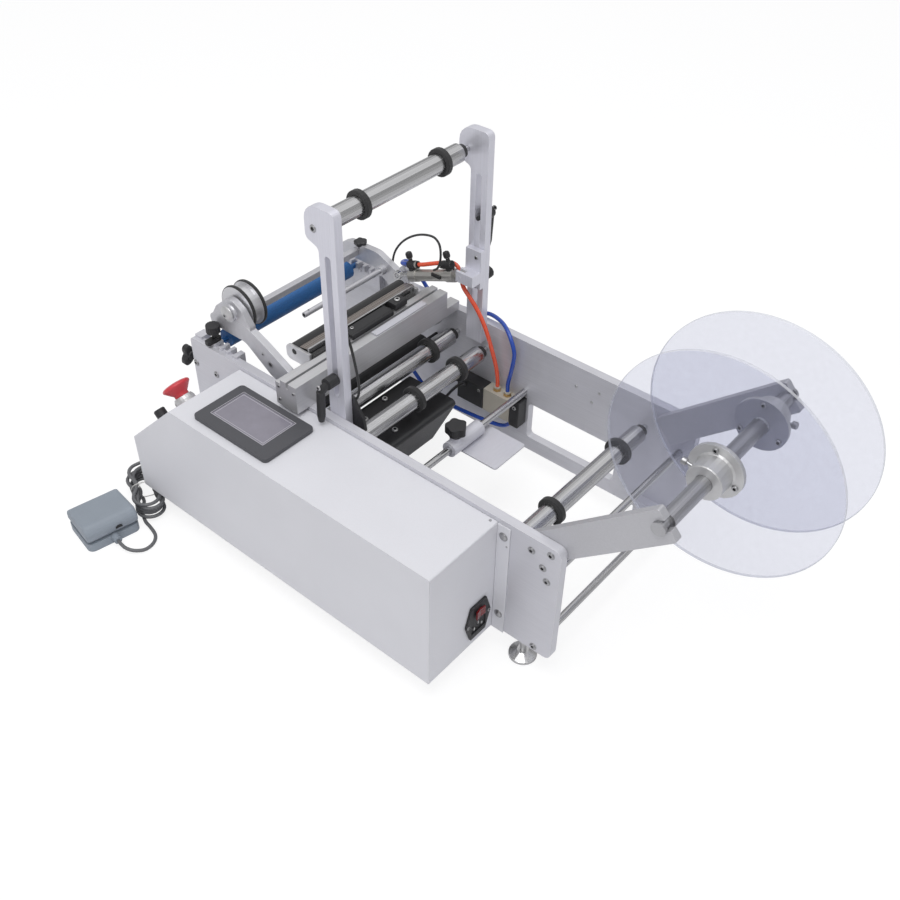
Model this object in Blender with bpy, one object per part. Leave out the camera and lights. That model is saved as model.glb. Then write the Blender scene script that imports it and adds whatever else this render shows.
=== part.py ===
"""Bottle labelling machine for round bottles, in metres, +Z up.

Two side plates carry guide rollers, a peel unit, a pneumatic press arm and a label reel.
A control box stands beside the near plate, and a foot pedal lies in front of it.
While it is built, x = 0 is the rear end of the control box, y = 0 the outer face of the
near side plate and z = 0 the floor. The last step moves the middle of the footprint to
the origin. The reel points towards +X and the control box towards -Y.
"""
import math

import bmesh
import bpy
from mathutils import Matrix, Vector

# Clearances and counts
FIT_GAP = 0.0003
RUNNING_GAP = 0.0006
CUT_OVERRUN = 0.002
ROUND_STEPS = 24
SMALL_STEPS = 14
DRUM_STEPS = 36
DISC_STEPS = 56
CORNER_STEPS = 5
SMOOTH_ANGLE = math.radians(32)

# Side plates
FRAME_WIDTH = 0.306
PLATE_THICKNESS = 0.012
PLATE_FRONT_X = -0.535
PLATE_REAR_X = 0.088
PLATE_BOTTOM_Z = 0.038
PLATE_TOP_Z = 0.222
PLATE_CORNER = 0.010
WINDOW_FRONT_X = -0.169
WINDOW_REAR_X = -0.020
WINDOW_BOTTOM_Z = 0.061
WINDOW_TOP_Z = 0.122
WINDOW_CORNER = 0.006

# Notched strips that hold the support roller
STRIP_FRONT_X = -0.531
STRIP_REAR_X = -0.447
STRIP_TOP_Z = 0.226
STRIP_HEIGHT = 0.030
STRIP_THICKNESS = 0.0095
NOTCH_PITCH = 0.0135
NOTCHES_AHEAD = 1
NOTCHES_BEHIND = 3

# Levelling feet
FOOT_FRONT_X = -0.488
FOOT_REAR_X = 0.041
FOOT_PAD_RADIUS = 0.018
FOOT_PAD_RIM = 0.004
FOOT_PAD_HEIGHT = 0.010
FOOT_STEM_RADIUS = 0.004
FOOT_NUT_RADIUS = 0.0075
FOOT_NUT_HEIGHT = 0.0065
FOOT_BLOCK_LENGTH = 0.032
FOOT_BLOCK_WIDTH = 0.014
FOOT_BLOCK_HEIGHT = 0.026

# Control box
BOX_LENGTH = 0.531
BOX_DEPTH = 0.119
BOX_BOTTOM_Z = 0.035
BOX_TOP_Z = 0.216
BOX_SLOPE_RUN = 0.096
BOX_SLOPE_DROP = 0.094
BOX_EDGE = 0.002

# Touch panel in the box's top
PANEL_LENGTH = 0.133
PANEL_WIDTH = 0.0825
PANEL_HEIGHT = 0.006
PANEL_CORNER = 0.006
PANEL_CENTRE_X = -0.3355
PANEL_CENTRE_Y = -0.0653
SCREEN_LENGTH = 0.094
SCREEN_WIDTH = 0.0535
SCREEN_OFFSET_X = -0.004
SCREEN_OFFSET_Y = 0.0035
SCREEN_DEPTH = 0.0012

# Emergency stop and push button on the slope
STOP_DOWN_SLOPE = 0.032
STOP_Y = -0.075
STOP_COLLAR_RADIUS = 0.0145
STOP_COLLAR_HEIGHT = 0.009
STOP_STEM_RADIUS = 0.010
STOP_STEM_HEIGHT = 0.010
STOP_HEAD_RADIUS = 0.019
STOP_HEAD_HEIGHT = 0.016
STOP_TRAVEL = 0.004
BUTTON_DOWN_SLOPE = 0.066
BUTTON_Y = -0.098
BUTTON_RADIUS = 0.008
BUTTON_HEIGHT = 0.012
BUTTON_SINK = 0.001
BUTTON_TRAVEL = 0.002
BUTTON_EDGE = 0.0016

# Mains inlet on the box's rear end
INLET_Y = -0.032
INLET_Z = 0.0785
INLET_WIDTH = 0.046
INLET_HEIGHT = 0.056
INLET_FLANGE = 0.003
INLET_CHAMFER = 0.009
INLET_POCKET_WIDTH = 0.027
INLET_POCKET_HEIGHT = 0.019
INLET_POCKET_DEPTH = 0.0018
ROCKER_WIDTH = 0.016
ROCKER_HEIGHT = 0.013
ROCKER_RISE = 0.0035
ROCKER_ABOVE = 0.0135
ROCKER_EDGE_SHARES = (0.45, 0.18, 0.63)
SOCKET_BELOW = 0.0105

# Uprights
UPRIGHT_REAR_X = -0.251
UPRIGHT_WIDTH = 0.027
UPRIGHT_THICKNESS = 0.012
UPRIGHT_BOTTOM_Z = 0.194
UPRIGHT_TOP_Z = 0.505
HEAD_OFFSET = 0.020
HEAD_BOTTOM_Z = 0.4614
HEAD_SHOULDER = 0.0075
HEAD_RADIUS = 0.020
UPRIGHT_CORNER = 0.008
SLOT_WIDTH = 0.009
SLOT_BOTTOM_Z = 0.250
SLOT_TOP_Z = 0.448

# Guide rollers
ROLLER_RADIUS = 0.0125
AXLE_RADIUS = 0.004
END_CAP_RADIUS = 0.0085
END_CAP_LENGTH = 0.009
ROLLER_END_GAP = 0.010
TOP_ROLLER_X = -0.2845
TOP_ROLLER_Z = 0.4765
REAR_ROLLER_X = 0.016
REAR_ROLLER_Z = 0.180
UPPER_FEED_X = -0.302
UPPER_FEED_Z = 0.186
LOWER_FEED_X = -0.250
LOWER_FEED_Z = 0.179
COLLAR_RADIUS = 0.018
COLLAR_WIDTH = 0.008
COLLAR_EDGE = 0.001
NEAR_COLLAR_Y = 0.086
FAR_COLLAR_Y = 0.229
LOWER_FEED_NEAR_COLLAR_Y = 0.140

# Traction roller under the peel unit
TRACTION_X = -0.342
TRACTION_Z = 0.160
TRACTION_RADIUS = 0.017
TRACTION_SHAFT_RADIUS = 0.005
TRACTION_NEAR_Y = 0.070
TRACTION_FAR_Y = 0.262

# Rods between the side plates
TIE_ROD_RADIUS = 0.005
UPPER_TIE_X = 0.070
UPPER_TIE_Z = 0.166
LOWER_TIE_X = 0.063
LOWER_TIE_Z = 0.045
GUIDE_ROD_X = -0.178
GUIDE_ROD_Z = 0.138
GUIDE_ROD_RADIUS = 0.005

# Web guide that slides on its rod
SLEEVE_RADIUS = 0.011
SLEEVE_NEAR_Y = 0.127
SLEEVE_LENGTH = 0.063
GUIDE_PLATE_LENGTH = 0.075
GUIDE_PLATE_WIDTH = 0.066
GUIDE_PLATE_THICKNESS = 0.002
GUIDE_PLATE_START = 0.019
GUIDE_PLATE_CORNER = 0.004
STAR_RADIUS = 0.015
STAR_LOBE_SHARE = 0.18
STAR_LOBES = 5
STAR_HEIGHT = 0.012
STAR_NECK_RADIUS = 0.006
STAR_NECK_LENGTH = 0.012
STAR_BOSS_RADIUS = 0.0085
STAR_BOSS_TOP = 0.016
STAR_DOWN_SLEEVE = 0.014

# Reel
ARM_ANGLE = math.radians(42)
ARM_LENGTH = 0.200
ARM_WIDTH = 0.040
ARM_THICKNESS = 0.010
ARM_CORNER = 0.003
REEL_X = 0.1875
REEL_Z = 0.321
SEAT_FROM_END = 0.0100
NECK_RADIUS = 0.006
SHAFT_RADIUS = 0.010
SHAFT_SHOULDER_GAP = 0.0025
SHAFT_HEAD_RADIUS = 0.0085
SHAFT_HEAD_WIDTH = 0.004
DISC_RADIUS = 0.138
DISC_THICKNESS = 0.004
NEAR_DISC_Y = 0.129
FAR_DISC_Y = 0.220
HUB_FLANGE_RADIUS = 0.033
HUB_FLANGE_THICKNESS = 0.005
HUB_BOSS_RADIUS = 0.0215
HUB_BOSS_LENGTH = 0.025
HUB_FILLET = 0.002

# Press arms
PIVOT_X = -0.336
PIVOT_Z = 0.204
PIVOT_STUB_RADIUS = 0.005
PRESS_ARM_REACH = 0.178
PRESS_ARM_THICKNESS = 0.010
PRESS_ARM_GAP = 0.0105
# Corner points from the pivot, as shares of the reach: forward, up, corner radius
PRESS_ARM_SHARES = (
    (0.978, 0.222, 0.030),
    (1.006, 0.303, 0.050),
    (0.904, 0.360, 0.080),
    (0.584, 0.371, 0.140),
    (0.388, 0.284, 0.140),
    (0.060, 0.110, 0.080),
    (-0.090, 0.060, 0.068),
    (-0.060, -0.095, 0.068),
    (0.180, 0.000, 0.120),
    (0.348, 0.038, 0.110),
    (0.610, 0.222, 0.120),
)
# The near arm's raised part round the drum's axle, in the same shares
DRUM_BOSS_SHARES = (
    (0.990, 0.280, 0.020),
    (0.904, 0.419, 0.080),
    (0.742, 0.559, 0.100),
    (0.618, 0.494, 0.080),
    (0.517, 0.348, 0.050),
    (0.640, 0.258, 0.030),
)
DRUM_AHEAD = 0.131
DRUM_ABOVE = 0.0765
DRUM_RADIUS = 0.031
DRUM_WAIST_RADIUS = 0.0265
DRUM_RIM_WIDTH = 0.005
DRUM_GROOVE = 0.0012
DRUM_WIDTH = 0.024
DRUM_BORE_RADIUS = 0.007
DRUM_FROM_ARM = 0.002
DRUM_AXLE_RADIUS = 0.0064
DOME_RADIUS = 0.012
DOME_HEIGHT = 0.006
CROSSBAR_SIDE = 0.010
CROSSBAR_AHEAD = 0.146
CROSSBAR_ABOVE = 0.052
STOP_ROD_AHEAD = 0.0925
STOP_ROD_ABOVE = 0.043
STOP_ROD_RADIUS = 0.004
STOP_ROD_LENGTH = 0.150
STOP_NUT_RADIUS = 0.0075
STOP_NUT_WIDTH = 0.009

# Support roller in the notches
SUPPORT_X = -0.500
SUPPORT_Z = 0.2185
SUPPORT_RADIUS = 0.013
SUPPORT_NECK_RADIUS = 0.004
SUPPORT_END_GAP = 0.0125
CLAMP_X = -0.497
CLAMP_BAR_WIDTH = 0.009
CLAMP_BAR_OVERHANG = 0.002
CLAMP_BAR_HEIGHT = 0.006
CLAMP_STEM_RADIUS = 0.003
CLAMP_KNOB_Y = 0.012
CLAMP_STEM_HEIGHT = 0.020
CLAMP_KNOB_RADIUS = 0.0098
CLAMP_KNOB_HEIGHT = 0.011
CLAMP_KNOB_TEETH = 18
CLAMP_TOOTH_SHARE = 0.06

# Peel unit
BEAM_REAR_X = -0.303
BEAM_DEPTH = 0.037
BEAM_HEIGHT = 0.040
BEAM_OVERHANG = 0.020
BEAM_FAR_GAP = 0.0245
BEAM_SLOT_WIDTH = 0.004
BEAM_SLOT_DEPTH = 0.009
BEAM_SLOT_INSET = 0.014
BEAM_LEDGE_DROP = 0.006
BEAM_LEDGE_DEPTH = 0.009
BEAM_FOOT_LENGTH = 0.016
BEAM_FOOT_OVERLAP = 0.002
ROLLER_FAR_GAP = 0.048
RUBBER_ROLLER_X = -0.364
RUBBER_ROLLER_Z = 0.259
RUBBER_ROLLER_RADIUS = 0.011
CHEEK_THICKNESS = 0.004
CHEEK_MARGIN = 0.004
CHEEK_NEAR_Y = 0.036
PEEL_PLATE_THICKNESS = 0.0025
PEEL_PLATE_HEIGHT = 0.026
SENSOR_NEAR_Y = 0.080
SENSOR_LENGTH = 0.046
SENSOR_HEIGHT = 0.010
SENSOR_CORNER = 0.003

# Clamp levers on the uprights
LEVER_Z = 0.279
LEVER_HUB_RADIUS = 0.008
LEVER_HUB_LENGTH = 0.016
LEVER_STUD_RADIUS = 0.003
LEVER_HANDLE_LENGTH = 0.047
LEVER_HANDLE_RADIUS = 0.0055
LEVER_KNEE = 0.010
LEVER_KNEE_SHARE = 0.7
LEVER_TAPER_SHARES = (0.8, 0.7)
FAR_LEVER_Z = 0.385

# Press cylinder
CYLINDER_Y = 0.262
CYLINDER_REAR_X = -0.2716
CYLINDER_REAR_Z = 0.3058
ROD_EYE_X = -0.3886
ROD_EYE_Z = 0.2588
CAP_RADIUS = 0.0095
BARREL_RADIUS = 0.0083
CAP_START = 0.013
CAP_LENGTH = 0.014
BARREL_END = 0.098
TANG_THICKNESS = 0.005
TANG_RADIUS = 0.006
CYLINDER_PIN_RADIUS = 0.0025
PISTON_ROD_RADIUS = 0.003
PORT_RADIUS = 0.0054
PORT_STEM_RADIUS = 0.0025
PORT_HEIGHT = 0.0155
PORT_KNOB_RADIUS = 0.0042
PORT_KNOB_NECK = 0.010
PORT_KNOB_HEIGHT = 0.008
LEFT_PORT_REACH = 0.012
RIGHT_PORT_REACH = 0.015
EYE_RADIUS = 0.0065
EYE_THICKNESS = 0.006
EYE_BORE_RADIUS = 0.0036
EYE_PIN_RADIUS = 0.0025
EAR_RADIUS = 0.008
EAR_DROP = 0.022
BRACKET_FRONT_X = -0.275
BRACKET_WIDTH = 0.026
BRACKET_BOTTOM_Z = 0.287
BRACKET_HEIGHT = 0.057
BRACKET_THICKNESS = 0.009
CLEVIS_HEIGHT = 0.016
CLEVIS_EAR = 0.004
CLEVIS_REACH = 0.006

# Air valve on the far plate
VALVE_FRONT_X = -0.236
VALVE_LENGTH = 0.047
VALVE_BOTTOM_Z = 0.088
VALVE_HEIGHT = 0.038
VALVE_DEPTH = 0.020
COIL_LENGTH = 0.007
COIL_MARGIN = 0.003
PILOT_LENGTH = 0.022
FITTING_RADIUS = 0.005
FITTING_HEIGHT = 0.007
ORANGE_FITTING_X = -0.219
BLUE_FITTING_X = -0.2005

# Drive housing under the feed rollers
HOUSING_NEAR_GAP = 0.0005
HOUSING_WIDTH = 0.190
HOUSING_TOP_Z = 0.150
HOUSING_BOTTOM_Z = 0.056
HOUSING_FRONT_X = -0.318
HOUSING_TOP_REAR_X = -0.226
HOUSING_BOTTOM_REAR_X = -0.272
HOUSING_CORNER = 0.006

# Foot pedal
PEDAL_X = -0.533
PEDAL_Y = -0.192
PEDAL_TURN = math.radians(-11)
PEDAL_LENGTH = 0.066
PEDAL_WIDTH = 0.076
PEDAL_BASE_HEIGHT = 0.013
PEDAL_LID_HEIGHT = 0.027
PEDAL_LID_FRONT_DROP = 0.008
PEDAL_CORNER = 0.009
PEDAL_LID_BEVEL = 0.004
PEDAL_LID_GAP = 0.004
PEDAL_HINGE_RADIUS = 0.0045
PEDAL_HINGE_INSET = 0.005
PEDAL_GLAND_RADIUS = 0.0055
PEDAL_GLAND_LENGTH = 0.010
PEDAL_GLAND_Z = 0.0095
PEDAL_CORD_RADIUS = 0.003

# Cord hank on the floor
HANK_X = -0.534
HANK_Y = -0.117
HANK_LENGTH = 0.098
HANK_WIDTH = 0.046
HANK_HEIGHT = 0.028
HANK_TURN = math.radians(-28)

# Tubes and leads
TUBE_RADIUS = 0.003
LEAD_RADIUS = 0.0016
CORD_POINT_SPACING = 0.009
LEAD_POINT_SPACING = 0.007

# Routes, point by point
ORANGE_ROUTE = (
    (-0.3490, 0.2620, 0.2916), (-0.3400, 0.2620, 0.2953), (-0.3260, 0.2640, 0.3015),
    (-0.3090, 0.2705, 0.3070), (-0.2970, 0.2755, 0.3080), (-0.2880, 0.2757, 0.3025),
    (-0.2835, 0.2752, 0.2920), (-0.2770, 0.2715, 0.2815), (-0.2640, 0.2695, 0.2715),
    (-0.2530, 0.2705, 0.2590), (-0.2445, 0.2735, 0.2420), (-0.2370, 0.2760, 0.2230),
    (-0.2290, 0.2790, 0.1960), (-0.2220, 0.2830, 0.1640), (-0.2190, 0.2837, 0.1420),
    (-0.2190, 0.2837, 0.1335),
)
BLUE_ROUTE = (
    (-0.3700, 0.2620, 0.2842), (-0.3790, 0.2630, 0.2808), (-0.3860, 0.2690, 0.2775),
    (-0.3885, 0.2780, 0.2745), (-0.3890, 0.2875, 0.2670), (-0.3880, 0.2930, 0.2540),
    (-0.3865, 0.3010, 0.2400), (-0.3840, 0.3100, 0.2290), (-0.3740, 0.3120, 0.2170),
    (-0.3505, 0.3120, 0.2130), (-0.3126, 0.3120, 0.2130), (-0.2800, 0.3120, 0.2180),
    (-0.2564, 0.3090, 0.2270), (-0.2314, 0.3010, 0.2300), (-0.2130, 0.2910, 0.2290),
    (-0.1990, 0.2845, 0.2180),
    (-0.1930, 0.2835, 0.2000), (-0.1960, 0.2835, 0.1720), (-0.2005, 0.2837, 0.1480),
    (-0.2005, 0.2837, 0.1335),
)
SENSOR_ROUTE = (
    (-0.3110, 0.2490, 0.3040), (-0.3030, 0.2480, 0.3110), (-0.2995, 0.2490, 0.3235),
    (-0.3030, 0.2535, 0.3350), (-0.3129, 0.2610, 0.3400), (-0.3310, 0.2700, 0.3386),
    (-0.3562, 0.2760, 0.3296), (-0.3811, 0.2810, 0.3145), (-0.4039, 0.2860, 0.2938),
    (-0.4189, 0.2885, 0.2713), (-0.4244, 0.2895, 0.2480), (-0.4240, 0.2905, 0.2200),
    (-0.4235, 0.2915, 0.1960),
)
PEDAL_CORD_ROUTE = (
    (-0.4897, -0.2005, 0.0095), (-0.4840, -0.2005, 0.0085), (-0.4770, -0.1960, 0.0045),
    (-0.4715, -0.1860, 0.0035), (-0.4720, -0.1740, 0.0035), (-0.4780, -0.1640, 0.0050),
    (-0.4870, -0.1565, 0.0080),
)
BOX_CORD_ROUTE = (
    (-0.5314, -0.0500, 0.0500), (-0.5420, -0.0500, 0.0480), (-0.5500, -0.0540, 0.0380),
    (-0.5540, -0.0620, 0.0250), (-0.5555, -0.0720, 0.0170), (-0.5560, -0.0810, 0.0140),
)

# Finishes: colour, roughness, metallic
FINISHES = {
    "paint": ((0.72, 0.73, 0.76), 0.45, 0.0),
    "aluminium": ((0.60, 0.60, 0.63), 0.38, 0.9),
    "steel": ((0.62, 0.62, 0.62), 0.28, 1.0),
    "chrome": ((0.72, 0.72, 0.73), 0.12, 1.0),
    "black_plastic": ((0.018, 0.018, 0.020), 0.5, 0.0),
    "black_rubber": ((0.015, 0.015, 0.015), 0.75, 0.0),
    "dark_bezel": ((0.075, 0.078, 0.090), 0.4, 0.0),
    "red": ((0.62, 0.035, 0.050), 0.4, 0.0),
    "blue": ((0.012, 0.130, 0.400), 0.55, 0.0),
    "clear": ((0.86, 0.87, 0.93), 0.08, 0.0),
    "ivory": ((0.48, 0.45, 0.38), 0.5, 0.0),
    "pedal_grey": ((0.21, 0.25, 0.28), 0.5, 0.0),
    "cord_grey": ((0.14, 0.145, 0.15), 0.6, 0.0),
    "orange": ((0.85, 0.105, 0.045), 0.35, 0.0),
    "tube_blue": ((0.012, 0.060, 0.430), 0.35, 0.0),
}

# Derived places
NEAR_INNER_Y = PLATE_THICKNESS
FAR_INNER_Y = FRAME_WIDTH - PLATE_THICKNESS
UPRIGHT_NEAR_Y = NEAR_INNER_Y + FIT_GAP
UPRIGHT_FAR_Y = FAR_INNER_Y - FIT_GAP - UPRIGHT_THICKNESS
SLOT_X = UPRIGHT_REAR_X - UPRIGHT_WIDTH / 2
PRESS_NEAR_Y = NEAR_INNER_Y + PRESS_ARM_GAP
PRESS_FAR_Y = FAR_INNER_Y - PRESS_ARM_GAP - PRESS_ARM_THICKNESS
DRUM_X = PIVOT_X - DRUM_AHEAD
DRUM_Z = PIVOT_Z + DRUM_ABOVE
BEAM_BOTTOM_Z = PLATE_TOP_Z + FIT_GAP
BEAM_TOP_Z = BEAM_BOTTOM_Z + BEAM_HEIGHT
BEAM_FRONT_X = BEAM_REAR_X - BEAM_DEPTH
BEAM_FAR_Y = FAR_INNER_Y - BEAM_FAR_GAP
CHEEK_FAR_Y = FAR_INNER_Y - ROLLER_FAR_GAP - CHEEK_THICKNESS
CYLINDER_AXIS = Vector((ROD_EYE_X - CYLINDER_REAR_X, 0.0, ROD_EYE_Z - CYLINDER_REAR_Z))
SLOPE_ANGLE = math.atan2(BOX_SLOPE_DROP, BOX_SLOPE_RUN)
SLOPE_NORMAL = Vector((-math.sin(SLOPE_ANGLE), 0.0, math.cos(SLOPE_ANGLE)))
AXIS_OF = {"X": Vector((1, 0, 0)), "Y": Vector((0, 1, 0)), "Z": Vector((0, 0, 1))}


# Outlines

def rounded(corners):
    """Turn corners (u, v, radius) into outline points with round corners."""
    points = []
    for index, (u, v, radius) in enumerate(corners):
        here = Vector((u, v))
        if radius == 0:
            points.append(here)
            continue
        before = Vector(corners[index - 1][:2])
        after = Vector(corners[(index + 1) % len(corners)][:2])
        to_before = (before - here).normalized()
        to_after = (after - here).normalized()
        half = to_before.angle(to_after) / 2
        centre = here + (to_before + to_after).normalized() * radius / math.sin(half)
        start = here + to_before * radius / math.tan(half) - centre
        end = here + to_after * radius / math.tan(half) - centre
        first = math.atan2(start.y, start.x)
        sweep = (math.atan2(end.y, end.x) - first + math.pi) % (2 * math.pi) - math.pi
        for step in range(CORNER_STEPS + 1):
            angle = first + sweep * step / CORNER_STEPS
            points.append(centre + Vector((math.cos(angle), math.sin(angle))) * radius)
    return points


def rectangle(low_u, low_v, high_u, high_v, radius=0.0):
    return rounded(((low_u, low_v, radius), (high_u, low_v, radius),
                    (high_u, high_v, radius), (low_u, high_v, radius)))


def circle(centre_u, centre_v, radius, steps=ROUND_STEPS):
    turn = 2 * math.pi / steps
    return [Vector((centre_u + radius * math.cos(turn * step),
                    centre_v + radius * math.sin(turn * step))) for step in range(steps)]


def lobed(radius, lobes, share, steps_per_lobe):
    """A round outline with waves along its edge, for knobs."""
    steps = lobes * steps_per_lobe
    points = []
    for step in range(steps):
        angle = 2 * math.pi * step / steps
        reach = radius * (1 - share / 2 + share / 2 * math.cos(lobes * angle))
        points.append(Vector((reach * math.cos(angle), reach * math.sin(angle))))
    return points


# Solids

def shape_from(bm):
    bmesh.ops.recalc_face_normals(bm, faces=bm.faces)
    mesh = bpy.data.meshes.new("shape")
    bm.to_mesh(mesh)
    bm.free()
    shape = bpy.data.objects.new("shape", mesh)
    bpy.context.scene.collection.objects.link(shape)
    return shape


def prism(outline, axis, low, high):
    """Extrude an outline along an axis; it lies in (y, z), (x, z) or (x, y)."""
    bm = bmesh.new()
    places = {"X": lambda p: (low, p[0], p[1]), "Y": lambda p: (p[0], low, p[1]),
              "Z": lambda p: (p[0], p[1], low)}
    face = bm.faces.new([bm.verts.new(places[axis](point)) for point in outline])
    grown = bmesh.ops.extrude_face_region(bm, geom=[face])["geom"]
    tips = [item for item in grown if isinstance(item, bmesh.types.BMVert)]
    bmesh.ops.translate(bm, verts=tips, vec=AXIS_OF[axis] * (high - low))
    return shape_from(bm)


def cuboid(low, high):
    return prism(rectangle(low[0], low[1], high[0], high[1]), "Z", low[2], high[2])


def turned(profile, start, axis, steps=ROUND_STEPS):
    """Spin a profile of (radius, distance) pairs round an axis that leaves start.

    A profile that begins and ends on the axis gives a solid, any other closes on itself.
    """
    bm = bmesh.new()
    verts = [bm.verts.new((radius, 0, along)) for radius, along in profile]
    edges = [bm.edges.new(pair) for pair in zip(verts, verts[1:])]
    if profile[0][0] > 0:
        edges.append(bm.edges.new((verts[-1], verts[0])))
    bmesh.ops.spin(bm, geom=verts + edges, cent=(0, 0, 0), axis=(0, 0, 1),
                   angle=2 * math.pi, steps=steps, use_merge=True)
    bmesh.ops.remove_doubles(bm, verts=bm.verts, dist=FIT_GAP / 100)
    turn = Vector((0, 0, 1)).rotation_difference(Vector(axis)).to_matrix().to_4x4()
    bm.transform(Matrix.Translation(Vector(start)) @ turn)
    return shape_from(bm)


def rod(start, axis, length, radius, steps=ROUND_STEPS):
    return turned(((0, 0), (radius, 0), (radius, length), (0, length)), start, axis, steps)


def stepped_rod(start, axis, sections, steps=ROUND_STEPS):
    """A shaft of sections (radius, length), one after the other."""
    profile = [(0, 0)]
    along = 0
    for radius, length in sections:
        profile += [(radius, along), (radius, along + length)]
        along += length
    profile.append((0, along))
    return turned(profile, start, axis, steps)


def paint(name, finish):
    colour, roughness, metallic = FINISHES[finish]
    material = bpy.data.materials.new(name)
    material.use_nodes = True
    shader = material.node_tree.nodes["Principled BSDF"]
    shader.inputs["Base Color"].default_value = (*colour, 1)
    shader.inputs["Roughness"].default_value = roughness
    shader.inputs["Metallic"].default_value = metallic
    return material


def combine(base, tool, operation):
    """Apply one Boolean to the base and remove its tool."""
    modifier = base.modifiers.new("combine", "BOOLEAN")
    modifier.operation = operation
    modifier.object = tool
    bpy.context.view_layer.update()
    result = base.evaluated_get(bpy.context.evaluated_depsgraph_get())
    mesh = bpy.data.meshes.new_from_object(result)
    base.modifiers.clear()
    base.data = mesh
    bpy.data.objects.remove(tool)


def piece(name, finish, base, add=(), cut=(), origin=(0, 0, 0)):
    """Name a solid, join and cut it with others, and set its origin and finish."""
    for tool in add:
        combine(base, tool, "UNION")
    for tool in cut:
        combine(base, tool, "DIFFERENCE")
    base.name = name
    base.data.name = name
    base.data.transform(Matrix.Translation(-Vector(origin)))
    base.location = origin
    base.data.shade_smooth()
    base.data.set_sharp_from_angle(angle=SMOOTH_ANGLE)
    base.data.materials.clear()
    base.data.materials.append(paint(name, finish))
    return base


# Soft lines

def smooth_route(points, spacing):
    """Read points at an even spacing from a smooth curve through the route."""
    route = [Vector(point) for point in points]
    route = [route[0] * 2 - route[1]] + route + [route[-1] * 2 - route[-2]]
    dense = []
    for a, b, c, d in zip(route, route[1:], route[2:], route[3:]):
        steps = max(2, math.ceil((c - b).length / spacing) * 4)
        for step in range(steps):
            t = step / steps
            dense.append((b * 2 + (c - a) * t + (a * 2 - b * 5 + c * 4 - d) * t ** 2
                          + (b * 3 - a - c * 3 + d) * t ** 3) / 2)
    dense.append(route[-2])
    even = [dense[0]]
    for point in dense[1:-1]:
        if (point - even[-1]).length >= spacing:
            even.append(point)
    if (dense[-1] - even[-1]).length < spacing / 2 and len(even) > 1:
        even.pop()
    return even + [dense[-1]]


def flexible(name, finish, points, radius, spacing):
    curve = bpy.data.curves.new(name, "CURVE")
    curve.dimensions = "3D"
    curve.bevel_depth = radius
    curve.bevel_resolution = 2
    curve.use_fill_caps = True
    route = smooth_route(points, spacing)
    spline = curve.splines.new("POLY")
    spline.points.add(len(route) - 1)
    for target, point in zip(spline.points, route):
        target.co = (*point, 1)
    curve.materials.append(paint(name, finish))
    line = bpy.data.objects.new(name, curve)
    bpy.context.scene.collection.objects.link(line)
    return line


# Frame

def notch_places():
    return [SUPPORT_X + NOTCH_PITCH * step for step in range(-NOTCHES_AHEAD, NOTCHES_BEHIND + 1)]


def strip_outline():
    """The notched strip: a bar whose top has a row of round-bottomed notches."""
    notch = SUPPORT_NECK_RADIUS + FIT_GAP
    bottom = STRIP_TOP_Z - STRIP_HEIGHT
    points = [Vector((STRIP_FRONT_X, bottom)), Vector((STRIP_REAR_X, bottom)),
              Vector((STRIP_REAR_X, STRIP_TOP_Z))]
    for x in reversed(notch_places()):
        points.append(Vector((x + notch, STRIP_TOP_Z)))
        for step in range(CORNER_STEPS * 2 + 1):
            angle = -math.pi * step / (CORNER_STEPS * 2)
            points.append(Vector((x + notch * math.cos(angle),
                                  SUPPORT_Z + notch * math.sin(angle))))
        points.append(Vector((x - notch, STRIP_TOP_Z)))
    points.append(Vector((STRIP_FRONT_X, STRIP_TOP_Z)))
    return points


def foot_places():
    near_y = PLATE_THICKNESS / 2 + FOOT_BLOCK_WIDTH / 2
    return {"near_front": (FOOT_FRONT_X, near_y), "near_rear": (FOOT_REAR_X, near_y),
            "far_front": (FOOT_FRONT_X, FRAME_WIDTH - near_y),
            "far_rear": (FOOT_REAR_X, FRAME_WIDTH - near_y)}


def side_plate(name, outer_y, inward):
    """One side plate with its notched strip, foot blocks and press pivot stub."""
    inner_y = outer_y + inward * PLATE_THICKNESS
    outline = rounded(((PLATE_FRONT_X, PLATE_BOTTOM_Z, PLATE_CORNER / 2),
                       (PLATE_REAR_X, PLATE_BOTTOM_Z, PLATE_CORNER),
                       (PLATE_REAR_X, PLATE_TOP_Z, PLATE_CORNER),
                       (PLATE_FRONT_X, PLATE_TOP_Z, PLATE_CORNER / 2)))
    plate = prism(outline, "Y", outer_y, inner_y)
    sunk = inner_y - inward * PLATE_THICKNESS / 2
    add = [prism(strip_outline(), "Y", sunk, inner_y + inward * STRIP_THICKNESS)]
    for x in (FOOT_FRONT_X, FOOT_REAR_X):
        block = rectangle(x - FOOT_BLOCK_LENGTH / 2, PLATE_BOTTOM_Z + FIT_GAP,
                          x + FOOT_BLOCK_LENGTH / 2, PLATE_BOTTOM_Z + FOOT_BLOCK_HEIGHT)
        add.append(prism(block, "Y", sunk, inner_y + inward * FOOT_BLOCK_WIDTH))
    stub_length = PLATE_THICKNESS / 2 + PRESS_ARM_GAP + PRESS_ARM_THICKNESS + RUNNING_GAP
    add.append(rod((PIVOT_X, sunk, PIVOT_Z), (0, inward, 0), stub_length, PIVOT_STUB_RADIUS))
    cut = []
    if inward < 0:
        window = rectangle(WINDOW_FRONT_X, WINDOW_BOTTOM_Z, WINDOW_REAR_X, WINDOW_TOP_Z,
                           WINDOW_CORNER)
        cut.append(prism(window, "Y", inner_y - CUT_OVERRUN, outer_y + CUT_OVERRUN))
    piece(name, "aluminium", plate, add, cut)


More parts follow.
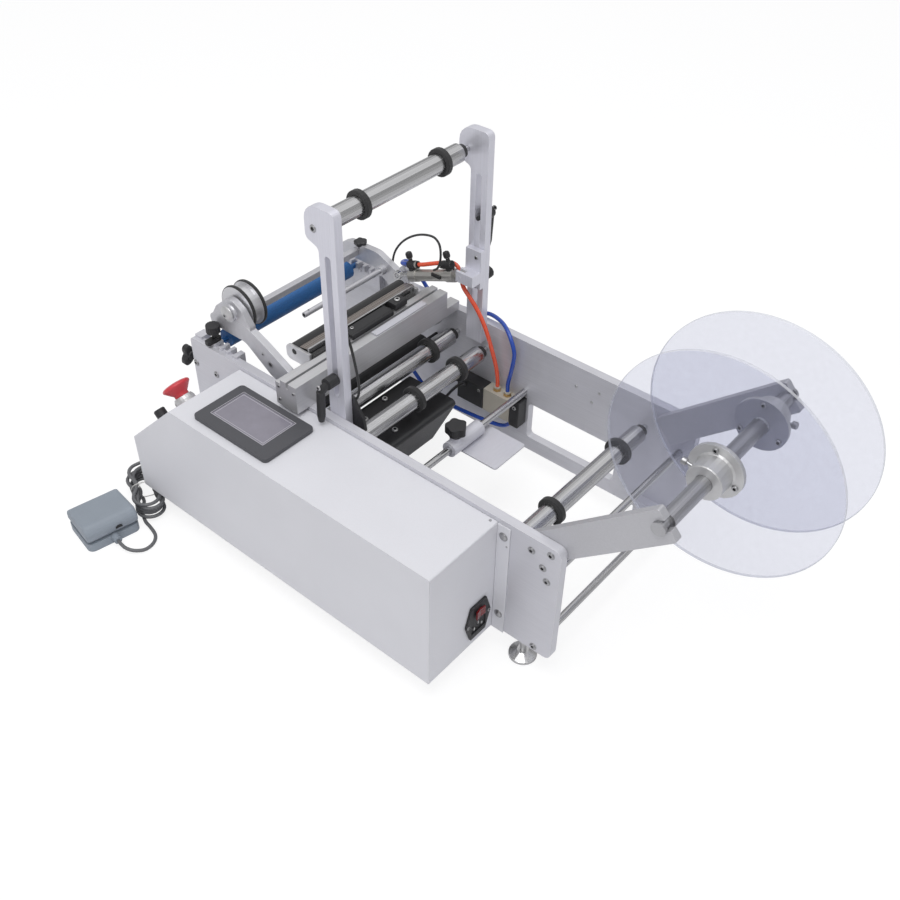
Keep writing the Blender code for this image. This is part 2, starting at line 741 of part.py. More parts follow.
def make_foot(name, x, y):
    top = PLATE_BOTTOM_Z - FIT_GAP
    pad = turned(((0, 0), (FOOT_PAD_RADIUS, 0), (FOOT_PAD_RADIUS, FOOT_PAD_RIM),
                  (FOOT_NUT_RADIUS, FOOT_PAD_HEIGHT), (FOOT_STEM_RADIUS, FOOT_PAD_HEIGHT),
                  (FOOT_STEM_RADIUS, top), (0, top)), (x, y, 0), (0, 0, 1))
    nut = prism(circle(x, y, FOOT_NUT_RADIUS, 6), "Z", top - FOOT_NUT_HEIGHT, top)
    piece(name, "steel", pad, [nut])


def make_frame():
    side_plate("near_side_plate", 0, 1)
    side_plate("far_side_plate", FRAME_WIDTH, -1)
    for corner, (x, y) in foot_places().items():
        make_foot("levelling_foot_" + corner, x, y)
    span = FAR_INNER_Y - NEAR_INNER_Y - 2 * FIT_GAP
    for name, x, z in (("tie_rod_upper", UPPER_TIE_X, UPPER_TIE_Z),
                       ("tie_rod_lower", LOWER_TIE_X, LOWER_TIE_Z)):
        bar = rod((x, NEAR_INNER_Y + FIT_GAP, z), (0, 1, 0), span, TIE_ROD_RADIUS)
        piece(name, "chrome", bar)


def make_upright(name, low_y):
    front = UPRIGHT_REAR_X - UPRIGHT_WIDTH
    head_front = front - HEAD_OFFSET
    outline = rounded(((UPRIGHT_REAR_X, UPRIGHT_BOTTOM_Z, 0),
                       (UPRIGHT_REAR_X, UPRIGHT_TOP_Z, UPRIGHT_CORNER),
                       (head_front, UPRIGHT_TOP_Z, HEAD_RADIUS),
                       (head_front, HEAD_BOTTOM_Z, UPRIGHT_CORNER),
                       (front, HEAD_BOTTOM_Z - HEAD_SHOULDER, HEAD_SHOULDER),
                       (front, UPRIGHT_BOTTOM_Z, 0)))
    high_y = low_y + UPRIGHT_THICKNESS
    half = SLOT_WIDTH / 2
    slot = rectangle(SLOT_X - half, SLOT_BOTTOM_Z, SLOT_X + half, SLOT_TOP_Z, half - FIT_GAP)
    cutter = prism(slot, "Y", low_y - CUT_OVERRUN, high_y + CUT_OVERRUN)
    piece(name, "aluminium", prism(outline, "Y", low_y, high_y), cut=[cutter])


# Control box

def slope_point(distance, y):
    """A point on the box's slope, this far below its upper edge."""
    top = Vector((-BOX_LENGTH + BOX_SLOPE_RUN, y, BOX_TOP_Z))
    return top + Vector((-math.cos(SLOPE_ANGLE), 0, -math.sin(SLOPE_ANGLE))) * distance


def make_control_box():
    outline = rounded(((0, BOX_BOTTOM_Z, BOX_EDGE), (0, BOX_TOP_Z, BOX_EDGE),
                       (-BOX_LENGTH + BOX_SLOPE_RUN, BOX_TOP_Z, BOX_EDGE),
                       (-BOX_LENGTH, BOX_TOP_Z - BOX_SLOPE_DROP, BOX_EDGE),
                       (-BOX_LENGTH, BOX_BOTTOM_Z, BOX_EDGE)))
    pocket_depth = BUTTON_SINK + BUTTON_TRAVEL + FIT_GAP
    floor = slope_point(BUTTON_DOWN_SLOPE, BUTTON_Y) - SLOPE_NORMAL * pocket_depth
    pocket = rod(floor, SLOPE_NORMAL, pocket_depth + CUT_OVERRUN, BUTTON_RADIUS + RUNNING_GAP)
    piece("control_box", "paint", prism(outline, "Y", -BOX_DEPTH, -FIT_GAP), cut=[pocket])


def make_touch_panel():
    low_z = BOX_TOP_Z + FIT_GAP
    high_z = low_z + PANEL_HEIGHT
    half_x = PANEL_LENGTH / 2
    half_y = PANEL_WIDTH / 2
    frame = prism(rectangle(PANEL_CENTRE_X - half_x, PANEL_CENTRE_Y - half_y,
                            PANEL_CENTRE_X + half_x, PANEL_CENTRE_Y + half_y, PANEL_CORNER),
                  "Z", low_z, high_z)
    screen_x = PANEL_CENTRE_X + SCREEN_OFFSET_X
    screen_y = PANEL_CENTRE_Y + SCREEN_OFFSET_Y
    window = cuboid((screen_x - SCREEN_LENGTH / 2, screen_y - SCREEN_WIDTH / 2,
                     high_z - SCREEN_DEPTH),
                    (screen_x + SCREEN_LENGTH / 2, screen_y + SCREEN_WIDTH / 2,
                     high_z + CUT_OVERRUN))
    panel = piece("touch_panel", "dark_bezel", frame, cut=[window])
    bevel = panel.modifiers.new("edge", "BEVEL")
    bevel.width = SCREEN_DEPTH
    bevel.segments = 2
    bevel.limit_method = "ANGLE"
    bevel.angle_limit = math.radians(60)


def make_stop_button():
    """A mushroom head whose stem runs down inside a fixed collar."""
    seat = slope_point(STOP_DOWN_SLOPE, STOP_Y) + SLOPE_NORMAL * FIT_GAP
    bore = STOP_STEM_RADIUS + RUNNING_GAP
    collar = turned(((bore, 0), (STOP_COLLAR_RADIUS, 0),
                     (STOP_COLLAR_RADIUS, STOP_COLLAR_HEIGHT / 2),
                     (STOP_COLLAR_RADIUS - STOP_COLLAR_HEIGHT / 4, STOP_COLLAR_HEIGHT),
                     (bore, STOP_COLLAR_HEIGHT)), seat, SLOPE_NORMAL)
    piece("stop_collar", "aluminium", collar)
    base = seat + SLOPE_NORMAL * (STOP_TRAVEL + FIT_GAP)
    stem = STOP_COLLAR_HEIGHT + STOP_STEM_HEIGHT
    top = stem + STOP_HEAD_HEIGHT
    flare = STOP_HEAD_HEIGHT / 4
    mushroom = turned(((0, 0), (STOP_STEM_RADIUS, 0), (STOP_STEM_RADIUS, stem - flare),
                       (STOP_HEAD_RADIUS, stem), (STOP_HEAD_RADIUS, top - flare),
                       (STOP_HEAD_RADIUS - flare, top), (0, top)), base, SLOPE_NORMAL)
    piece("stop_button", "red", mushroom, origin=base)


def make_push_button():
    """A round cap that stands in the box's pocket."""
    base = slope_point(BUTTON_DOWN_SLOPE, BUTTON_Y) - SLOPE_NORMAL * BUTTON_SINK
    top = BUTTON_HEIGHT + BUTTON_SINK
    cap = turned(((0, 0), (BUTTON_RADIUS, 0), (BUTTON_RADIUS, top - BUTTON_EDGE),
                  (BUTTON_RADIUS - BUTTON_EDGE, top), (0, top)), base, SLOPE_NORMAL)
    piece("push_button", "black_plastic", cap, origin=base)


def make_power_inlet():
    half_y = INLET_WIDTH / 2
    half_z = INLET_HEIGHT / 2
    outline = rounded(((INLET_Y - half_y + INLET_CHAMFER, INLET_Z - half_z, 0),
                       (INLET_Y + half_y - INLET_CHAMFER, INLET_Z - half_z, 0),
                       (INLET_Y + half_y, INLET_Z, 0),
                       (INLET_Y + half_y - INLET_CHAMFER, INLET_Z + half_z, 0),
                       (INLET_Y - half_y + INLET_CHAMFER, INLET_Z + half_z, 0),
                       (INLET_Y - half_y, INLET_Z, 0)))
    flange = prism(outline, "X", FIT_GAP, FIT_GAP + INLET_FLANGE)
    top = FIT_GAP + INLET_FLANGE
    socket_z = INLET_Z - SOCKET_BELOW
    pocket = rectangle(INLET_Y - INLET_POCKET_WIDTH / 2, socket_z - INLET_POCKET_HEIGHT / 2,
                       INLET_Y + INLET_POCKET_WIDTH / 2, socket_z + INLET_POCKET_HEIGHT / 2)
    cutter = prism(pocket, "X", top - INLET_POCKET_DEPTH, top + CUT_OVERRUN)
    piece("power_inlet", "black_plastic", flange, cut=[cutter])
    rocker_z = INLET_Z + ROCKER_ABOVE
    half = ROCKER_WIDTH / 2
    base = top + ROCKER_RISE / 2
    edge, dip, lift = ROCKER_EDGE_SHARES
    tilt = ((INLET_Y - half, 0), (INLET_Y, -edge), (INLET_Y + half, 0),
            (INLET_Y + half, edge), (INLET_Y, dip), (INLET_Y - half, lift))
    corners = [Vector((base + ROCKER_RISE * share + FIT_GAP, y)) for y, share in tilt]
    rocker = prism(corners, "Z", rocker_z - ROCKER_HEIGHT / 2, rocker_z + ROCKER_HEIGHT / 2)
    piece("rocker_switch", "black_plastic", rocker, origin=(base, INLET_Y, rocker_z))


# Rollers

def collar_profile(inner, low):
    high = low + COLLAR_WIDTH
    return ((inner, low), (COLLAR_RADIUS - COLLAR_EDGE, low), (COLLAR_RADIUS, low + COLLAR_EDGE),
            (COLLAR_RADIUS, high - COLLAR_EDGE), (COLLAR_RADIUS - COLLAR_EDGE, high),
            (inner, high))


def make_roller(name, x, z, near_y, far_y, collars=()):
    """A guide roller between two faces, with dark end caps, and collars clamped on it."""
    start = near_y + FIT_GAP
    span = far_y - near_y - 2 * FIT_GAP
    body = span - 2 * ROLLER_END_GAP - 2 * END_CAP_LENGTH
    profile = [(0, 0), (AXLE_RADIUS, 0), (AXLE_RADIUS, ROLLER_END_GAP)]
    along = ROLLER_END_GAP
    profile += [(END_CAP_RADIUS, along), (END_CAP_RADIUS, along + END_CAP_LENGTH)]
    along += END_CAP_LENGTH
    profile.append((ROLLER_RADIUS, along))
    for collar_y in collars:
        low = collar_y - COLLAR_WIDTH / 2 - start
        profile += list(collar_profile(ROLLER_RADIUS, low))
    along += body
    profile.append((ROLLER_RADIUS, along))
    profile += [(END_CAP_RADIUS, along), (END_CAP_RADIUS, along + END_CAP_LENGTH)]
    along += END_CAP_LENGTH
    profile += [(AXLE_RADIUS, along), (AXLE_RADIUS, span), (0, span)]
    piece(name, "chrome", turned(profile, (x, start, z), (0, 1, 0)), origin=(x, start, z))


def make_collar(name, x, z, y):
    low = y - COLLAR_WIDTH / 2
    ring = turned(collar_profile(ROLLER_RADIUS + FIT_GAP, 0), (x, low, z), (0, 1, 0))
    piece(name, "black_plastic", ring, origin=(x, y, z))


def make_guide_rollers():
    make_roller("top_roller", TOP_ROLLER_X, TOP_ROLLER_Z, UPRIGHT_NEAR_Y + UPRIGHT_THICKNESS,
                UPRIGHT_FAR_Y)
    make_collar("top_collar_near", TOP_ROLLER_X, TOP_ROLLER_Z, NEAR_COLLAR_Y)
    make_collar("top_collar_far", TOP_ROLLER_X, TOP_ROLLER_Z, FAR_COLLAR_Y)
    make_roller("rear_roller", REAR_ROLLER_X, REAR_ROLLER_Z, NEAR_INNER_Y, FAR_INNER_Y,
                (NEAR_COLLAR_Y, FAR_COLLAR_Y))
    make_roller("upper_feed_roller", UPPER_FEED_X, UPPER_FEED_Z, NEAR_INNER_Y, FAR_INNER_Y,
                (FAR_COLLAR_Y,))
    make_roller("lower_feed_roller", LOWER_FEED_X, LOWER_FEED_Z, NEAR_INNER_Y, FAR_INNER_Y,
                (LOWER_FEED_NEAR_COLLAR_Y, FAR_COLLAR_Y))


def make_traction_roller():
    start = NEAR_INNER_Y + FIT_GAP
    span = FAR_INNER_Y - FIT_GAP - start
    sections = ((TRACTION_SHAFT_RADIUS, TRACTION_NEAR_Y - start),
                (TRACTION_RADIUS, TRACTION_FAR_Y - TRACTION_NEAR_Y),
                (TRACTION_SHAFT_RADIUS, start + span - TRACTION_FAR_Y))
    roller = stepped_rod((TRACTION_X, start, TRACTION_Z), (0, 1, 0), sections)
    piece("traction_roller", "black_rubber", roller, origin=(TRACTION_X, start, TRACTION_Z))


def make_support_roller():
    near_end = NEAR_INNER_Y + FIT_GAP
    far_end = FAR_INNER_Y - FIT_GAP
    neck = STRIP_THICKNESS + SUPPORT_END_GAP
    sections = ((SUPPORT_NECK_RADIUS, neck), (SUPPORT_RADIUS, far_end - near_end - 2 * neck),
                (SUPPORT_NECK_RADIUS, neck))
    place = (SUPPORT_X, near_end, SUPPORT_Z)
    piece("support_roller", "blue", stepped_rod(place, (0, 1, 0), sections), origin=place)


def make_roller_clamp():
    """A bar across the notched strip, held down by a ribbed knob on a stud."""
    low_z = STRIP_TOP_Z + FIT_GAP
    high_z = low_z + CLAMP_BAR_HEIGHT
    half_x = CLAMP_BAR_WIDTH / 2
    bar = prism(rectangle(CLAMP_X - half_x, -CLAMP_BAR_OVERHANG, CLAMP_X + half_x,
                          NEAR_INNER_Y + STRIP_THICKNESS - FIT_GAP, half_x / 2),
                "Z", low_z, high_z)
    piece("roller_clamp", "black_plastic", bar)
    base_z = high_z + FIT_GAP
    top_z = base_z + CLAMP_STEM_HEIGHT
    stem = rod((CLAMP_X, CLAMP_KNOB_Y, base_z), (0, 0, 1), CLAMP_STEM_HEIGHT - CLAMP_STEM_RADIUS,
               CLAMP_STEM_RADIUS)
    ribbed = lobed(CLAMP_KNOB_RADIUS, CLAMP_KNOB_TEETH, CLAMP_TOOTH_SHARE, 4)
    head = prism([point + Vector((CLAMP_X, CLAMP_KNOB_Y)) for point in ribbed], "Z",
                 top_z - CLAMP_KNOB_HEIGHT, top_z)
    piece("roller_clamp_knob", "black_plastic", head, [stem],
          origin=(CLAMP_X, CLAMP_KNOB_Y, base_z))


# Reel

def arm_point(along, across):
    """A point of the reel arm's plane, measured from the reel's axis up the arm."""
    along_arm = Vector((math.cos(ARM_ANGLE), math.sin(ARM_ANGLE)))
    across_arm = Vector((-math.sin(ARM_ANGLE), math.cos(ARM_ANGLE)))
    return Vector((REEL_X, REEL_Z)) + along_arm * along + across_arm * across


def make_reel_arm(name, low_y):
    tip = SEAT_FROM_END
    foot = tip - ARM_LENGTH
    half = ARM_WIDTH / 2
    outline = rounded([(*arm_point(along, across), ARM_CORNER) for along, across in
                       ((foot, -half), (tip, -half), (tip, half), (foot, half))])
    seat = NECK_RADIUS + FIT_GAP
    slot = [arm_point(tip + CUT_OVERRUN, -seat), arm_point(tip + CUT_OVERRUN, seat)]
    half_turn = ROUND_STEPS // 2
    for step in range(half_turn + 1):
        angle = math.pi / 2 + math.pi * step / half_turn
        slot.append(arm_point(seat * math.cos(angle), seat * math.sin(angle)))
    arm = prism(outline, "Y", low_y, low_y + ARM_THICKNESS)
    cutter = prism(slot, "Y", low_y - CUT_OVERRUN, low_y + ARM_THICKNESS + CUT_OVERRUN)
    piece(name, "aluminium", arm, cut=[cutter])


def make_reel_shaft():
    near_arm = NEAR_INNER_Y + FIT_GAP
    far_arm = FAR_INNER_Y - FIT_GAP - ARM_THICKNESS
    start = near_arm - FIT_GAP - SHAFT_HEAD_WIDTH
    neck = ARM_THICKNESS + SHAFT_SHOULDER_GAP + FIT_GAP
    body_end = far_arm - SHAFT_SHOULDER_GAP
    body_start = start + SHAFT_HEAD_WIDTH + neck
    sections = ((SHAFT_HEAD_RADIUS, SHAFT_HEAD_WIDTH), (NECK_RADIUS, neck),
                (SHAFT_RADIUS, body_end - body_start), (NECK_RADIUS, neck),
                (SHAFT_HEAD_RADIUS, SHAFT_HEAD_WIDTH))
    place = (REEL_X, start, REEL_Z)
    piece("reel_shaft", "steel", stepped_rod(place, (0, 1, 0), sections), origin=place)


def make_disc(name, y):
    bore = SHAFT_RADIUS + FIT_GAP
    half = DISC_THICKNESS / 2
    profile = ((bore, -half), (DISC_RADIUS, -half), (DISC_RADIUS, half), (bore, half))
    place = (REEL_X, y, REEL_Z)
    piece(name, "clear", turned(profile, place, (0, 1, 0), DISC_STEPS), origin=place)


def make_hub(name, disc_y, outward):
    """A flanged hub whose flat face lies against its disc and whose boss points outward."""
    bore = SHAFT_RADIUS + FIT_GAP
    boss_end = HUB_FLANGE_THICKNESS + HUB_BOSS_LENGTH
    profile = ((bore, 0), (HUB_FLANGE_RADIUS, 0), (HUB_FLANGE_RADIUS, HUB_FLANGE_THICKNESS),
               (HUB_BOSS_RADIUS + HUB_FILLET, HUB_FLANGE_THICKNESS),
               (HUB_BOSS_RADIUS, HUB_FLANGE_THICKNESS + HUB_FILLET),
               (HUB_BOSS_RADIUS, boss_end - HUB_FILLET / 2),
               (HUB_BOSS_RADIUS - HUB_FILLET / 2, boss_end), (bore, boss_end))
    place = (REEL_X, disc_y + outward * (DISC_THICKNESS / 2 + FIT_GAP), REEL_Z)
    piece(name, "aluminium", turned(profile, place, (0, outward, 0)), origin=place)


def make_reel():
    make_reel_arm("reel_arm_near", NEAR_INNER_Y + FIT_GAP)
    make_reel_arm("reel_arm_far", FAR_INNER_Y - FIT_GAP - ARM_THICKNESS)
    make_reel_shaft()
    make_disc("reel_disc_near", NEAR_DISC_Y)
    make_disc("reel_disc_far", FAR_DISC_Y)
    make_hub("reel_hub_near", NEAR_DISC_Y, -1)
    make_hub("reel_hub_far", FAR_DISC_Y, 1)


# Press unit

def press_outline(shares):
    corners = []
    for ahead, up, radius in shares:
        corners.append((PIVOT_X - ahead * PRESS_ARM_REACH, PIVOT_Z + up * PRESS_ARM_REACH,
                        radius * PRESS_ARM_REACH))
    return rounded(corners)


def pivot_bore(low_y):
    return rod((PIVOT_X, low_y - CUT_OVERRUN, PIVOT_Z), (0, 1, 0),
               PRESS_ARM_THICKNESS + 2 * CUT_OVERRUN, PIVOT_STUB_RADIUS + FIT_GAP)


def make_near_press_arm():
    """The near arm, with the drum's axle behind it and a domed hub in front."""
    inner = PRESS_NEAR_Y + PRESS_ARM_THICKNESS
    arm = prism(press_outline(PRESS_ARM_SHARES), "Y", PRESS_NEAR_Y, inner)
    boss = prism(press_outline(DRUM_BOSS_SHARES), "Y", PRESS_NEAR_Y + FIT_GAP, inner - FIT_GAP)
    axle = rod((DRUM_X, inner - PRESS_ARM_THICKNESS / 2, DRUM_Z), (0, 1, 0),
               PRESS_ARM_THICKNESS / 2 + DRUM_FROM_ARM + DRUM_WIDTH, DRUM_AXLE_RADIUS)
    dome_profile = [(0, -PRESS_ARM_THICKNESS / 2), (DOME_RADIUS, -PRESS_ARM_THICKNESS / 2)]
    for step in range(CORNER_STEPS + 1):
        angle = math.pi / 2 * step / CORNER_STEPS
        dome_profile.append((DOME_RADIUS * math.cos(angle), DOME_HEIGHT * math.sin(angle)))
    dome = turned(dome_profile, (DRUM_X, PRESS_NEAR_Y, DRUM_Z), (0, -1, 0))
    piece("press_arm_near", "aluminium", arm, [boss, axle, dome], [pivot_bore(PRESS_NEAR_Y)],
          origin=(PIVOT_X, PRESS_NEAR_Y, PIVOT_Z))


def make_far_press_arm():
    """The far arm, with the pin for the cylinder's rod end and a stop rod for bottles."""
    arm = prism(press_outline(PRESS_ARM_SHARES), "Y", PRESS_FAR_Y,
                PRESS_FAR_Y + PRESS_ARM_THICKNESS)
    tab = EAR_RADIUS - FIT_GAP
    ear = prism(rounded(((ROD_EYE_X - EAR_RADIUS, ROD_EYE_Z - EAR_DROP, 0),
                         (ROD_EYE_X + EAR_RADIUS, ROD_EYE_Z - EAR_DROP, 0),
                         (ROD_EYE_X + EAR_RADIUS, ROD_EYE_Z + EAR_RADIUS, tab),
                         (ROD_EYE_X - EAR_RADIUS, ROD_EYE_Z + EAR_RADIUS, tab))), "Y",
                PRESS_FAR_Y + FIT_GAP, PRESS_FAR_Y + PRESS_ARM_THICKNESS / 2)
    pin_start = CYLINDER_Y - EYE_THICKNESS / 2
    pin = rod((ROD_EYE_X, pin_start, ROD_EYE_Z), (0, 1, 0),
              PRESS_FAR_Y + PRESS_ARM_THICKNESS / 4 - pin_start, EYE_PIN_RADIUS)
    root = PRESS_FAR_Y + PRESS_ARM_THICKNESS / 2
    stop = stepped_rod((PIVOT_X - STOP_ROD_AHEAD, root, PIVOT_Z + STOP_ROD_ABOVE), (0, -1, 0),
                       ((STOP_NUT_RADIUS, PRESS_ARM_THICKNESS / 2 + STOP_NUT_WIDTH),
                        (STOP_ROD_RADIUS, STOP_ROD_LENGTH)))
    piece("press_arm_far", "aluminium", arm, [ear, pin, stop], [pivot_bore(PRESS_FAR_Y)],
          origin=(PIVOT_X, PRESS_FAR_Y, PIVOT_Z))


def make_press_drum():
    """The bottle drum: two rims with a groove each, and a waist between them."""
    groove_low = (DRUM_RIM_WIDTH - DRUM_GROOVE) / 2
    groove_high = groove_low + DRUM_GROOVE
    bottom = DRUM_RADIUS - DRUM_GROOVE
    profile = [(DRUM_BORE_RADIUS, 0), (DRUM_RADIUS, 0), (DRUM_RADIUS, groove_low),
               (bottom, groove_low), (bottom, groove_high), (DRUM_RADIUS, groove_high),
               (DRUM_RADIUS, DRUM_RIM_WIDTH), (DRUM_WAIST_RADIUS, DRUM_RIM_WIDTH)]
    profile += [(radius, DRUM_WIDTH - along) for radius, along in reversed(profile)]
    place = (DRUM_X, PRESS_NEAR_Y + PRESS_ARM_THICKNESS + DRUM_FROM_ARM, DRUM_Z)
    piece("press_drum", "aluminium", turned(profile, place, (0, 1, 0), DRUM_STEPS), origin=place)


def make_crossbar():
    """The square bar that ties the two arms together behind the drum."""
    x = PIVOT_X - CROSSBAR_AHEAD
    z = PIVOT_Z + CROSSBAR_ABOVE
    half = CROSSBAR_SIDE / 2
    start = PRESS_NEAR_Y + PRESS_ARM_THICKNESS + DRUM_FROM_ARM + DRUM_WIDTH + DRUM_FROM_ARM
    bar = prism(rectangle(x - half, z - half, x + half, z + half, half / 4), "Y", start,
                PRESS_FAR_Y - FIT_GAP)
    neck = rod((DRUM_X, start - DRUM_FROM_ARM + FIT_GAP, DRUM_Z), (0, 1, 0),
               DRUM_FROM_ARM + half, half)
    lug = prism(rectangle(min(x, DRUM_X) - half, z - half, max(x, DRUM_X) + half,
                          DRUM_Z + half, half / 4), "Y", start, start + half)
    piece("press_crossbar", "aluminium", bar, [lug, neck])


def along_cylinder(distance, up=0.0):
    """A point on the cylinder's axis, or above it, square to the axis."""
    axis = CYLINDER_AXIS.normalized()
    above = Vector((axis.z, 0, -axis.x))
    return Vector((CYLINDER_REAR_X, CYLINDER_Y, CYLINDER_REAR_Z)) + axis * distance + above * up


def flow_control(distance, reach):
    """A port fitting above the cylinder: a barrel with its tube's socket, and a knob."""
    axis = CYLINDER_AXIS.normalized()
    above = Vector((axis.z, 0, -axis.x))
    foot = (CAP_RADIUS + PISTON_ROD_RADIUS) / 2
    side = math.copysign(1, reach)
    barrel = rod(along_cylinder(distance - side * PORT_RADIUS, PORT_HEIGHT), axis * side,
                 abs(reach) + PORT_RADIUS, PORT_RADIUS, SMALL_STEPS)
    stem = stepped_rod(along_cylinder(distance, foot), above,
                       ((PORT_STEM_RADIUS, PORT_HEIGHT - foot + PORT_KNOB_NECK),
                        (PORT_KNOB_RADIUS, PORT_KNOB_HEIGHT)), SMALL_STEPS + 1)
    return [barrel, stem]


def make_cylinder():
    total = BARREL_END - CAP_START
    barrel = total - 2 * CAP_LENGTH
    sections = ((CAP_RADIUS, CAP_LENGTH), (BARREL_RADIUS, barrel), (CAP_RADIUS, CAP_LENGTH))
    body = stepped_rod(along_cylinder(CAP_START), CYLINDER_AXIS, sections)
    tang_low = CYLINDER_Y - TANG_THICKNESS / 2
    tang_high = CYLINDER_Y + TANG_THICKNESS / 2
    pivot = along_cylinder(0)
    tang = prism(circle(pivot.x, pivot.z, TANG_RADIUS), "Y", tang_low, tang_high)
    start = along_cylinder(0, -TANG_RADIUS / 2)
    end = along_cylinder(CAP_START + CAP_LENGTH / 2, TANG_RADIUS / 2)
    web_points = (start, along_cylinder(CAP_START + CAP_LENGTH / 2, -TANG_RADIUS / 2), end,
                  along_cylinder(0, TANG_RADIUS / 2))
    web = prism([Vector((point.x, point.z)) for point in web_points], "Y",
                tang_low + FIT_GAP, tang_high - FIT_GAP)
    add = [tang, web]
    add += flow_control(CAP_START + PORT_RADIUS, RIGHT_PORT_REACH)
    add += flow_control(BARREL_END - CAP_LENGTH / 2, -LEFT_PORT_REACH)
    bore = rod((pivot.x, tang_low - CUT_OVERRUN, pivot.z), (0, 1, 0),
               TANG_THICKNESS + 2 * CUT_OVERRUN, CYLINDER_PIN_RADIUS + FIT_GAP)
    rod_bore = rod(along_cylinder(BARREL_END - CAP_LENGTH), CYLINDER_AXIS,
                   CAP_LENGTH + CUT_OVERRUN, PISTON_ROD_RADIUS + FIT_GAP)
    piece("press_cylinder", "steel", body, add, [bore, rod_bore], origin=pivot)


def make_piston_rod():
    eye_distance = CYLINDER_AXIS.length
    start = BARREL_END - CAP_LENGTH + FIT_GAP + CUT_OVERRUN
    shank = rod(along_cylinder(start), CYLINDER_AXIS, eye_distance - start, PISTON_ROD_RADIUS)
    low = CYLINDER_Y - EYE_THICKNESS / 2
    eye = prism(circle(ROD_EYE_X, ROD_EYE_Z, EYE_RADIUS), "Y", low, low + EYE_THICKNESS)
    bore = rod((ROD_EYE_X, low - CUT_OVERRUN, ROD_EYE_Z), (0, 1, 0),
               EYE_THICKNESS + 2 * CUT_OVERRUN, EYE_BORE_RADIUS)
    piece("piston_rod", "steel", eye, [shank], [bore], origin=along_cylinder(start))


def make_cylinder_bracket():
    """A block on the far upright, with two ears and a pin for the cylinder's tail."""
    back = UPRIGHT_FAR_Y - FIT_GAP
    front = back - BRACKET_THICKNESS
    rear_x = BRACKET_FRONT_X + BRACKET_WIDTH
    block = prism(rectangle(BRACKET_FRONT_X, BRACKET_BOTTOM_Z, rear_x,
                            BRACKET_BOTTOM_Z + BRACKET_HEIGHT), "Y", front, back)
    ear_low = CYLINDER_Y - TANG_THICKNESS / 2 - FIT_GAP - CLEVIS_EAR
    ear_high = CYLINDER_Y + TANG_THICKNESS / 2 + FIT_GAP + CLEVIS_EAR
    slot_low = ear_low + CLEVIS_EAR
    slot_high = ear_high - CLEVIS_EAR
    tip = CYLINDER_REAR_X - CLEVIS_REACH
    root = CYLINDER_REAR_X + TANG_RADIUS + RUNNING_GAP
    outline = [Vector(point) for point in
               ((rear_x, front + FIT_GAP), (rear_x, ear_low), (tip, ear_low), (tip, slot_low),
                (root, slot_low), (root, slot_high), (tip, slot_high), (tip, ear_high),
                (BRACKET_FRONT_X + FIT_GAP, ear_high), (BRACKET_FRONT_X + FIT_GAP, front + FIT_GAP))]
    clevis = prism(outline, "Z", CYLINDER_REAR_Z - CLEVIS_HEIGHT / 2,
                   CYLINDER_REAR_Z + CLEVIS_HEIGHT / 2)
    pin = rod((CYLINDER_REAR_X, ear_low - FIT_GAP, CYLINDER_REAR_Z), (0, 1, 0),
              ear_high - ear_low, CYLINDER_PIN_RADIUS)
    piece("cylinder_bracket", "aluminium", block, [clevis, pin])


# Peel unit

def beam_outline():
    """The beam's section: a bar with a ledge at its front and a slot in its top."""
    ledge_z = BEAM_TOP_Z - BEAM_LEDGE_DROP
    slot_rear = BEAM_REAR_X - BEAM_SLOT_INSET
    slot_front = slot_rear - BEAM_SLOT_WIDTH
    slot_z = BEAM_TOP_Z - BEAM_SLOT_DEPTH
    ledge_x = BEAM_FRONT_X + BEAM_LEDGE_DEPTH
    return [Vector(point) for point in
            ((BEAM_FRONT_X, BEAM_BOTTOM_Z), (BEAM_REAR_X, BEAM_BOTTOM_Z),
             (BEAM_REAR_X, BEAM_TOP_Z), (slot_rear, BEAM_TOP_Z), (slot_rear, slot_z),
             (slot_front, slot_z), (slot_front, BEAM_TOP_Z), (ledge_x, BEAM_TOP_Z),
             (ledge_x, ledge_z), (BEAM_FRONT_X, ledge_z))]


def cheek(low_y):
    """An end cheek that carries the rubber roller in front of the beam."""
    reach = RUBBER_ROLLER_RADIUS + CHEEK_MARGIN
    front = RUBBER_ROLLER_X - reach
    outline = rounded(((front, RUBBER_ROLLER_Z - reach, reach / 2),
                       (BEAM_FRONT_X + CHEEK_MARGIN, RUBBER_ROLLER_Z - reach, 0),
                       (BEAM_FRONT_X + CHEEK_MARGIN, RUBBER_ROLLER_Z + reach / 2, 0),
                       (front, RUBBER_ROLLER_Z + reach / 2, reach / 2)))
    return prism(outline, "Y", low_y, low_y + CHEEK_THICKNESS)


def make_peel_beam():
    beam = prism(beam_outline(), "Y", -BEAM_OVERHANG, BEAM_FAR_Y)
    foot = prism(rectangle(BEAM_REAR_X - BEAM_FOOT_LENGTH, BEAM_BOTTOM_Z,
                           BEAM_REAR_X, BEAM_BOTTOM_Z + BEAM_HEIGHT / 3), "Y",
                 BEAM_FAR_Y - BEAM_FOOT_LENGTH, FAR_INNER_Y + BEAM_FOOT_OVERLAP)
    bores = []
    for low_y in (CHEEK_NEAR_Y, CHEEK_FAR_Y):
        bores.append(rod((RUBBER_ROLLER_X, low_y - CUT_OVERRUN, RUBBER_ROLLER_Z), (0, 1, 0),
                         CHEEK_THICKNESS + 2 * CUT_OVERRUN, AXLE_RADIUS + FIT_GAP))
    piece("peel_beam", "aluminium", beam, [foot, cheek(CHEEK_NEAR_Y), cheek(CHEEK_FAR_Y)], bores)


